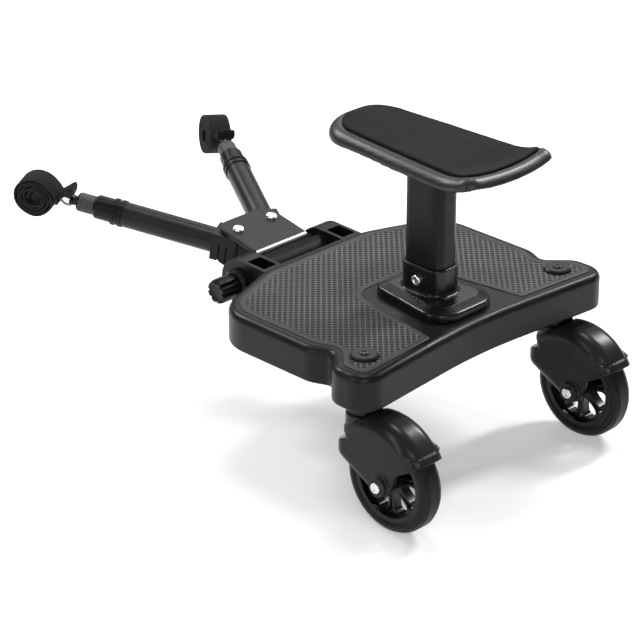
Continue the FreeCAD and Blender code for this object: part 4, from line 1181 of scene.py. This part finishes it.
@dataclass
class MatBorder:
    """The smooth raised border round the grip mat.

    Attributes:
        width: The border's width.
        rise: Its height over the mat.
        step: From point to point along it.
        profile: Share of the width and share of the height, from the mat's edge inwards.
    """

    width: float = 0.0062
    rise: float = 0.0005
    step: float = 0.004
    profile: tuple[tuple[float, float], ...] = (
        (0.02, 0.0), (0.10, 0.7), (0.30, 1.0), (0.75, 1.0), (0.95, 0.6), (1.0, 0.0))

    def outline(self) -> list[Vector]:
        """Outer edge of the mat's top.

        Returns:
            Points in order round the mat.
        """
        data = frame["nodes"]["grip_mat"].data
        top = max(vertex.co.z for vertex in data.vertices)
        mesh = bmesh.new()
        mesh.from_mesh(data)
        bmesh.ops.remove_doubles(mesh, verts=mesh.verts, dist=1e-6)
        level = [edge for edge in mesh.edges
                 if all(abs(vertex.co.z - top) < 1e-5 for vertex in edge.verts)
                 and any(abs(face.normal.z) < 0.5 for face in edge.link_faces)]
        neighbours: dict[Any, list[Any]] = {}
        for edge in level:
            first, second = edge.verts
            neighbours.setdefault(first, []).append(second)
            neighbours.setdefault(second, []).append(first)
        loops = []
        waiting = set(neighbours)
        while waiting:
            start = min(waiting, key=lambda vertex: vertex.index)
            loop, current = [start], start
            waiting.discard(start)
            while True:
                following = next((v for v in neighbours[current] if v in waiting), None)
                if following is None:
                    break
                loop.append(following)
                waiting.discard(following)
                current = following
            loops.append([vertex.co.copy() for vertex in loop])
        mesh.free()
        return max(loops, key=len_of)

    def build(self, palette: Palette) -> bpy.types.Object:
        """Lay the border along the mat's edge.

        Args:
            palette: The materials.

        Returns:
            The border.
        """
        points = even(self.outline(), self.step)
        area = sum(a.x * b.y - b.x * a.y for a, b in zip(points, points[1:] + points[:1]))
        way = 1.0 if area > 0 else -1.0
        mesh = bmesh.new()
        rings = []
        count = len(points)
        for i, point in enumerate(points):
            ahead, behind = points[(i + 2) % count], points[i - 2]
            tangent = (ahead - behind).normalized()
            inward = Vector((-tangent.y, tangent.x, 0)) * way
            rings.append([mesh.verts.new(point + inward * (self.width * share) + Vector((0, 0, self.rise * up)))
                          for share, up in self.profile])
        for i in range(count):
            first, second = rings[i], rings[(i + 1) % count]
            for k in range(len(self.profile) - 1):
                mesh.faces.new((first[k], first[k + 1], second[k + 1], second[k]))
        piece = new_piece("mat_border", mesh, "board")
        palette.dress(piece, "mat_rim")
        return piece


def len_of(points: Sequence[Vector]) -> float:
    """Length round a closed row of points."""
    return sum((points[i] - points[i - 1]).length for i in range(len(points)))


def even(points: Sequence[Vector], step: float) -> list[Vector]:
    """Closed row of points at even distances.

    Args:
        points: Corners in order.
        step: Wanted distance.

    Returns:
        The even points.
    """
    total = len_of(points)
    count = max(8, round(total / step))
    result, walked = [], 0.0
    for i, start in enumerate(points):
        end = points[(i + 1) % len(points)]
        length = (end - start).length
        while len(result) < count and walked + length > len(result) * total / count:
            share = (len(result) * total / count - walked) / length
            result.append(start.lerp(end, share))
        walked += length
    return result


@dataclass
class MouldedFork:
    """A caster fork with the soft edges of a moulding.

    Attributes:
        voxel: Size of the mesh that the fork is shaped from.
        passes: Number of smoothing passes.
        keep: Radius round each bore that stays as it is.
        proud: Share of the lip's height over the hood that stays.
        hood: Turns, from the rear over up in degrees, between which the hood's round is measured.
        full: Share of the hood's points that lie within its round.
        lip: Turns between which the lip lies.
    """

    voxel: float = 0.0009
    passes: int = 14
    keep: float = 0.011
    proud: float = 0.25
    hood: tuple[float, float] = (50.0, 80.0)
    full: float = 0.97
    lip: tuple[float, float] = (-20.0, 50.0)

    def trim(self, piece: bpy.types.Object, axle: Vector) -> None:
        """Lower the rear lip to just over the hood's round.

        Args:
            piece: The fork.
            axle: A point on the wheel's axle.
        """
        spots = [(vertex, math.hypot(vertex.co.y - axle.y, vertex.co.z - axle.z),
                  math.degrees(math.atan2(vertex.co.z - axle.z, axle.y - vertex.co.y)))
                 for vertex in piece.data.vertices]
        radii = sorted(radius for _, radius, angle in spots if self.hood[0] < angle < self.hood[1])
        limit = radii[int(self.full * len(radii))]
        for vertex, radius, angle in spots:
            if self.lip[0] < angle < self.lip[1] and radius > limit:
                share = (limit + self.proud * (radius - limit)) / radius
                vertex.co.y = axle.y + (vertex.co.y - axle.y) * share
                vertex.co.z = axle.z + (vertex.co.z - axle.z) * share

    def build(self, side: Side, palette: Palette) -> bpy.types.Object:
        """Shape one fork from its plain solid.

        Args:
            side: Which fork.
            palette: The materials.

        Returns:
            The fork.
        """
        node = f"caster_fork_{side.word}"
        piece = even_copy(node, f"moulded_fork_{side.word}", f"caster_{side.word}", self.voxel)
        axle = Vector(joint(f"wheel_spin_{side.word}")["pos_m"])
        stem = Vector(joint(f"caster_swivel_{side.word}")["pos_m"])
        mark_skin(piece, lambda place: min((place - axle).yz.length, (place - stem).xy.length) > self.keep)
        self.trim(piece, axle)
        soften(piece, self.passes)
        palette.dress(piece, "caster_plastic")
        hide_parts(node)
        return piece


@dataclass
class SeatBase:
    """The seat post's socket and flange, with the soft edges of a moulding.

    Attributes:
        voxel: Size of the mesh that the base is shaped from.
        passes: Number of smoothing passes.
        foot: Height over the deck that stays flat.
        margin: Room round the post that stays as it is.
    """

    voxel: float = 0.0008
    passes: int = 26
    foot: float = 0.0012
    margin: float = 0.0012

    def build(self, palette: Palette) -> bpy.types.Object:
        """Shape the base from its plain solid.

        Args:
            palette: The materials.

        Returns:
            The base.
        """
        piece = even_copy("seat_base", "moulded_seat_base", "board", self.voxel)
        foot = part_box("seat_base")[0].z + self.foot
        low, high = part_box("seat_post")
        mark_skin(piece, lambda place: place.z > foot and beside(place, low, high, self.margin))
        soften(piece, self.passes)
        palette.dress(piece, "base_plastic")
        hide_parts("seat_base")
        return piece


@dataclass
class CadNodes:
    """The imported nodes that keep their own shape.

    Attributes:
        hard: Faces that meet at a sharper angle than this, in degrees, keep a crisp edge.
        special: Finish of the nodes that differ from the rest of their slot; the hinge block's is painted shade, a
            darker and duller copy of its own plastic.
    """

    hard: float = 32.0
    special: dict[str, str] = field(default_factory=lambda: {
        "wire_ring_left": "ring_wire", "wire_ring_right": "ring_wire",
        "cover_plate": "pressed_cover", "hinge_block": "dull_plastic", "seat_post": "post_plastic"})

    def dress(self, palette: Palette) -> None:
        """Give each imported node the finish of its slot.

        Args:
            palette: The materials.
        """
        for entry in frame["record"]["subparts"]:
            node = frame["nodes"][entry["node"]]
            palette.dress(node, self.special.get(entry["node"], entry["material_slot"]))
            for face in node.data.polygons:
                face.use_smooth = True
            node.data.set_sharp_from_angle(angle=math.radians(self.hard))
            even_faces = node.modifiers.new("even_faces", "WEIGHTED_NORMAL")
            even_faces.keep_sharp = True
            LOG.info("node %s in %s", entry["node"], entry["material_slot"])


class Lamp(NamedTuple):
    """One soft lamp.

    Attributes:
        name: The lamp's name.
        place: Where it hangs.
        size: Its width and height.
        watts: Its power.
    """

    name: str
    place: Triple
    size: tuple[float, float]
    watts: float


@dataclass
class Studio:
    """Floor, light and camera.

    Attributes:
        eye: The camera's place from the middle of the caster line.
        right: The camera's right.
        up: The camera's up.
        lens: Focal length in millimetres on a 36 mm wide sensor.
        aim: What the lamps look at.
        lamps: The lamps.
        around: Strength of the light from all round.
        reach: Half the floor's width.
        bounce: The floor's grey where it lights the board.
        paper: The floor's grey where it is seen.
        glow: Light added where the floor is seen.
    """

    eye: Triple = (-1.83270, -1.63117, 1.33273)
    right: Triple = (0.7067, -0.7075, 0.0)
    up: Triple = (0.3056, 0.3052, 0.9019)
    lens: float = 155.74
    aim: Triple = (0.0, 0.0, 0.15)
    lamps: tuple[Lamp, ...] = (
        Lamp("overhead", (0.2, 0.1, 2.2), (0.5, 0.5), 12.0),
        Lamp("back_softbox", (1.5, 1.4, 1.7), (1.6, 1.0), 10.0),
        Lamp("right_back", (1.9, -0.3, 1.9), (0.3, 0.9), 44.0),
        Lamp("left_back", (-0.3, 1.9, 1.9), (0.3, 0.9), 30.0),
        Lamp("left_window", (-2.1, 0.2, 1.1), (0.35, 1.5), 9.0),
        Lamp("front_fill", (-1.7, -2.0, 1.5), (1.2, 1.2), 18.0),
    )
    around: float = 0.2
    reach: float = 8.0
    bounce: float = 0.42
    paper: float = 0.90
    glow: float = 0.3

    def camera(self) -> None:
        """Stand the camera where the photograph was taken from."""
        casters = [Vector(joint(f"caster_swivel_{side.word}")["pos_m"]) for side in Side]
        middle = (casters[0] + casters[1]) / 2
        middle.z = 0.0
        right = Vector(self.right).normalized()
        back = right.cross(Vector(self.up)).normalized()
        up = back.cross(right).normalized()
        data = bpy.data.cameras.new("camera")
        data.lens = self.lens
        data.sensor_width = 36.0
        eye = bpy.data.objects.new("camera", data)
        matrix = Matrix((right, up, back)).transposed().to_4x4()
        matrix.translation = middle + Vector(self.eye)
        eye.matrix_world = matrix
        bpy.context.scene.collection.objects.link(eye)
        bpy.context.scene.camera = eye

    def hang(self, lamp: Lamp) -> None:
        """Hang one lamp and turn it to the board.

        Args:
            lamp: The lamp.
        """
        data = bpy.data.lights.new(lamp.name, "AREA")
        data.energy = lamp.watts
        data.shape = "RECTANGLE"
        data.size, data.size_y = lamp.size
        light = bpy.data.objects.new(lamp.name, data)
        light.location = lamp.place
        aim = Vector(self.aim) - Vector(lamp.place)
        light.rotation_euler = aim.to_track_quat("-Z", "Y").to_euler()
        bpy.context.scene.collection.objects.link(light)

    @staticmethod
    def seen(nodes: Tree) -> bpy.types.NodeSocket:
        """Mask of the rays that look at the studio: straight, mirrored or through clear pieces.

        Args:
            nodes: The tree to add to.

        Returns:
            The mask.
        """
        path = nodes.add("ShaderNodeLightPath")
        straight = nodes.math("MAXIMUM", path.outputs["Is Camera Ray"], path.outputs["Is Glossy Ray"])
        return nodes.math("MAXIMUM", straight, path.outputs["Is Transmission Ray"])

    def world(self) -> None:
        """Plain grey light from all round."""
        world = bpy.data.worlds.new("studio")
        world.use_nodes = True
        bpy.context.scene.world = world
        nodes = Tree(world.node_tree)
        shade = nodes.add("ShaderNodeBackground", {"Color": (1.0, 1.0, 1.0, 1.0), "Strength": self.around})
        nodes.add("ShaderNodeOutputWorld", {"Surface": shade.outputs[0]})

    def floor(self) -> None:
        """Lay a wide pale floor."""
        mesh = bmesh.new()
        bmesh.ops.create_grid(mesh, x_segments=1, y_segments=1, size=self.reach)
        data = bpy.data.meshes.new("floor")
        mesh.to_mesh(data)
        mesh.free()
        floor = bpy.data.objects.new("floor", data)
        bpy.context.scene.collection.objects.link(floor)
        material = bpy.data.materials.new("floor_paper")
        material.use_nodes = True
        nodes = Tree(material.node_tree)
        plain = nodes.add("ShaderNodeBsdfDiffuse", {"Color": (*[self.bounce] * 3, 1.0)})
        paper = nodes.add("ShaderNodeBsdfDiffuse", {"Color": (*[self.paper] * 3, 1.0)})
        glow = nodes.add("ShaderNodeEmission", {"Color": (1.0, 1.0, 1.0, 1.0), "Strength": self.glow})
        lit = nodes.add("ShaderNodeAddShader", {0: paper.outputs[0], 1: glow.outputs[0]})
        mixed = nodes.add("ShaderNodeMixShader", {0: self.seen(nodes), 1: plain.outputs[0], 2: lit.outputs[0]})
        nodes.add("ShaderNodeOutputMaterial", {"Surface": mixed.outputs[0]})
        data.materials.append(material)

    def build(self) -> None:
        """Set up the whole studio."""
        bpy.context.scene.view_settings.view_transform = "Standard"
        self.camera()
        self.world()
        self.floor()
        for lamp in self.lamps:
            self.hang(lamp)


def main() -> None:
    """Build the board's looks in order."""
    logging.basicConfig(level=logging.INFO, format="%(name)s: %(message)s")
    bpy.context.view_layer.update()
    palette = Palette()
    CadNodes().dress(palette)
    pieces = [*Saddle().build(palette), SeatBase().build(palette)]
    pieces += [MouldedFork().build(side, palette) for side in Side]
    pieces += [RolledStrap().build(side, palette) for side in Side]
    pieces += [PlateRoll().build(palette), StarKnob().build(palette), MatBorder().build(palette)]
    pieces += Fasteners().build(palette)
    for piece in pieces:
        LOG.info("piece %s", piece.name)
    Studio().build()


if __name__ == "__main__":
    main()
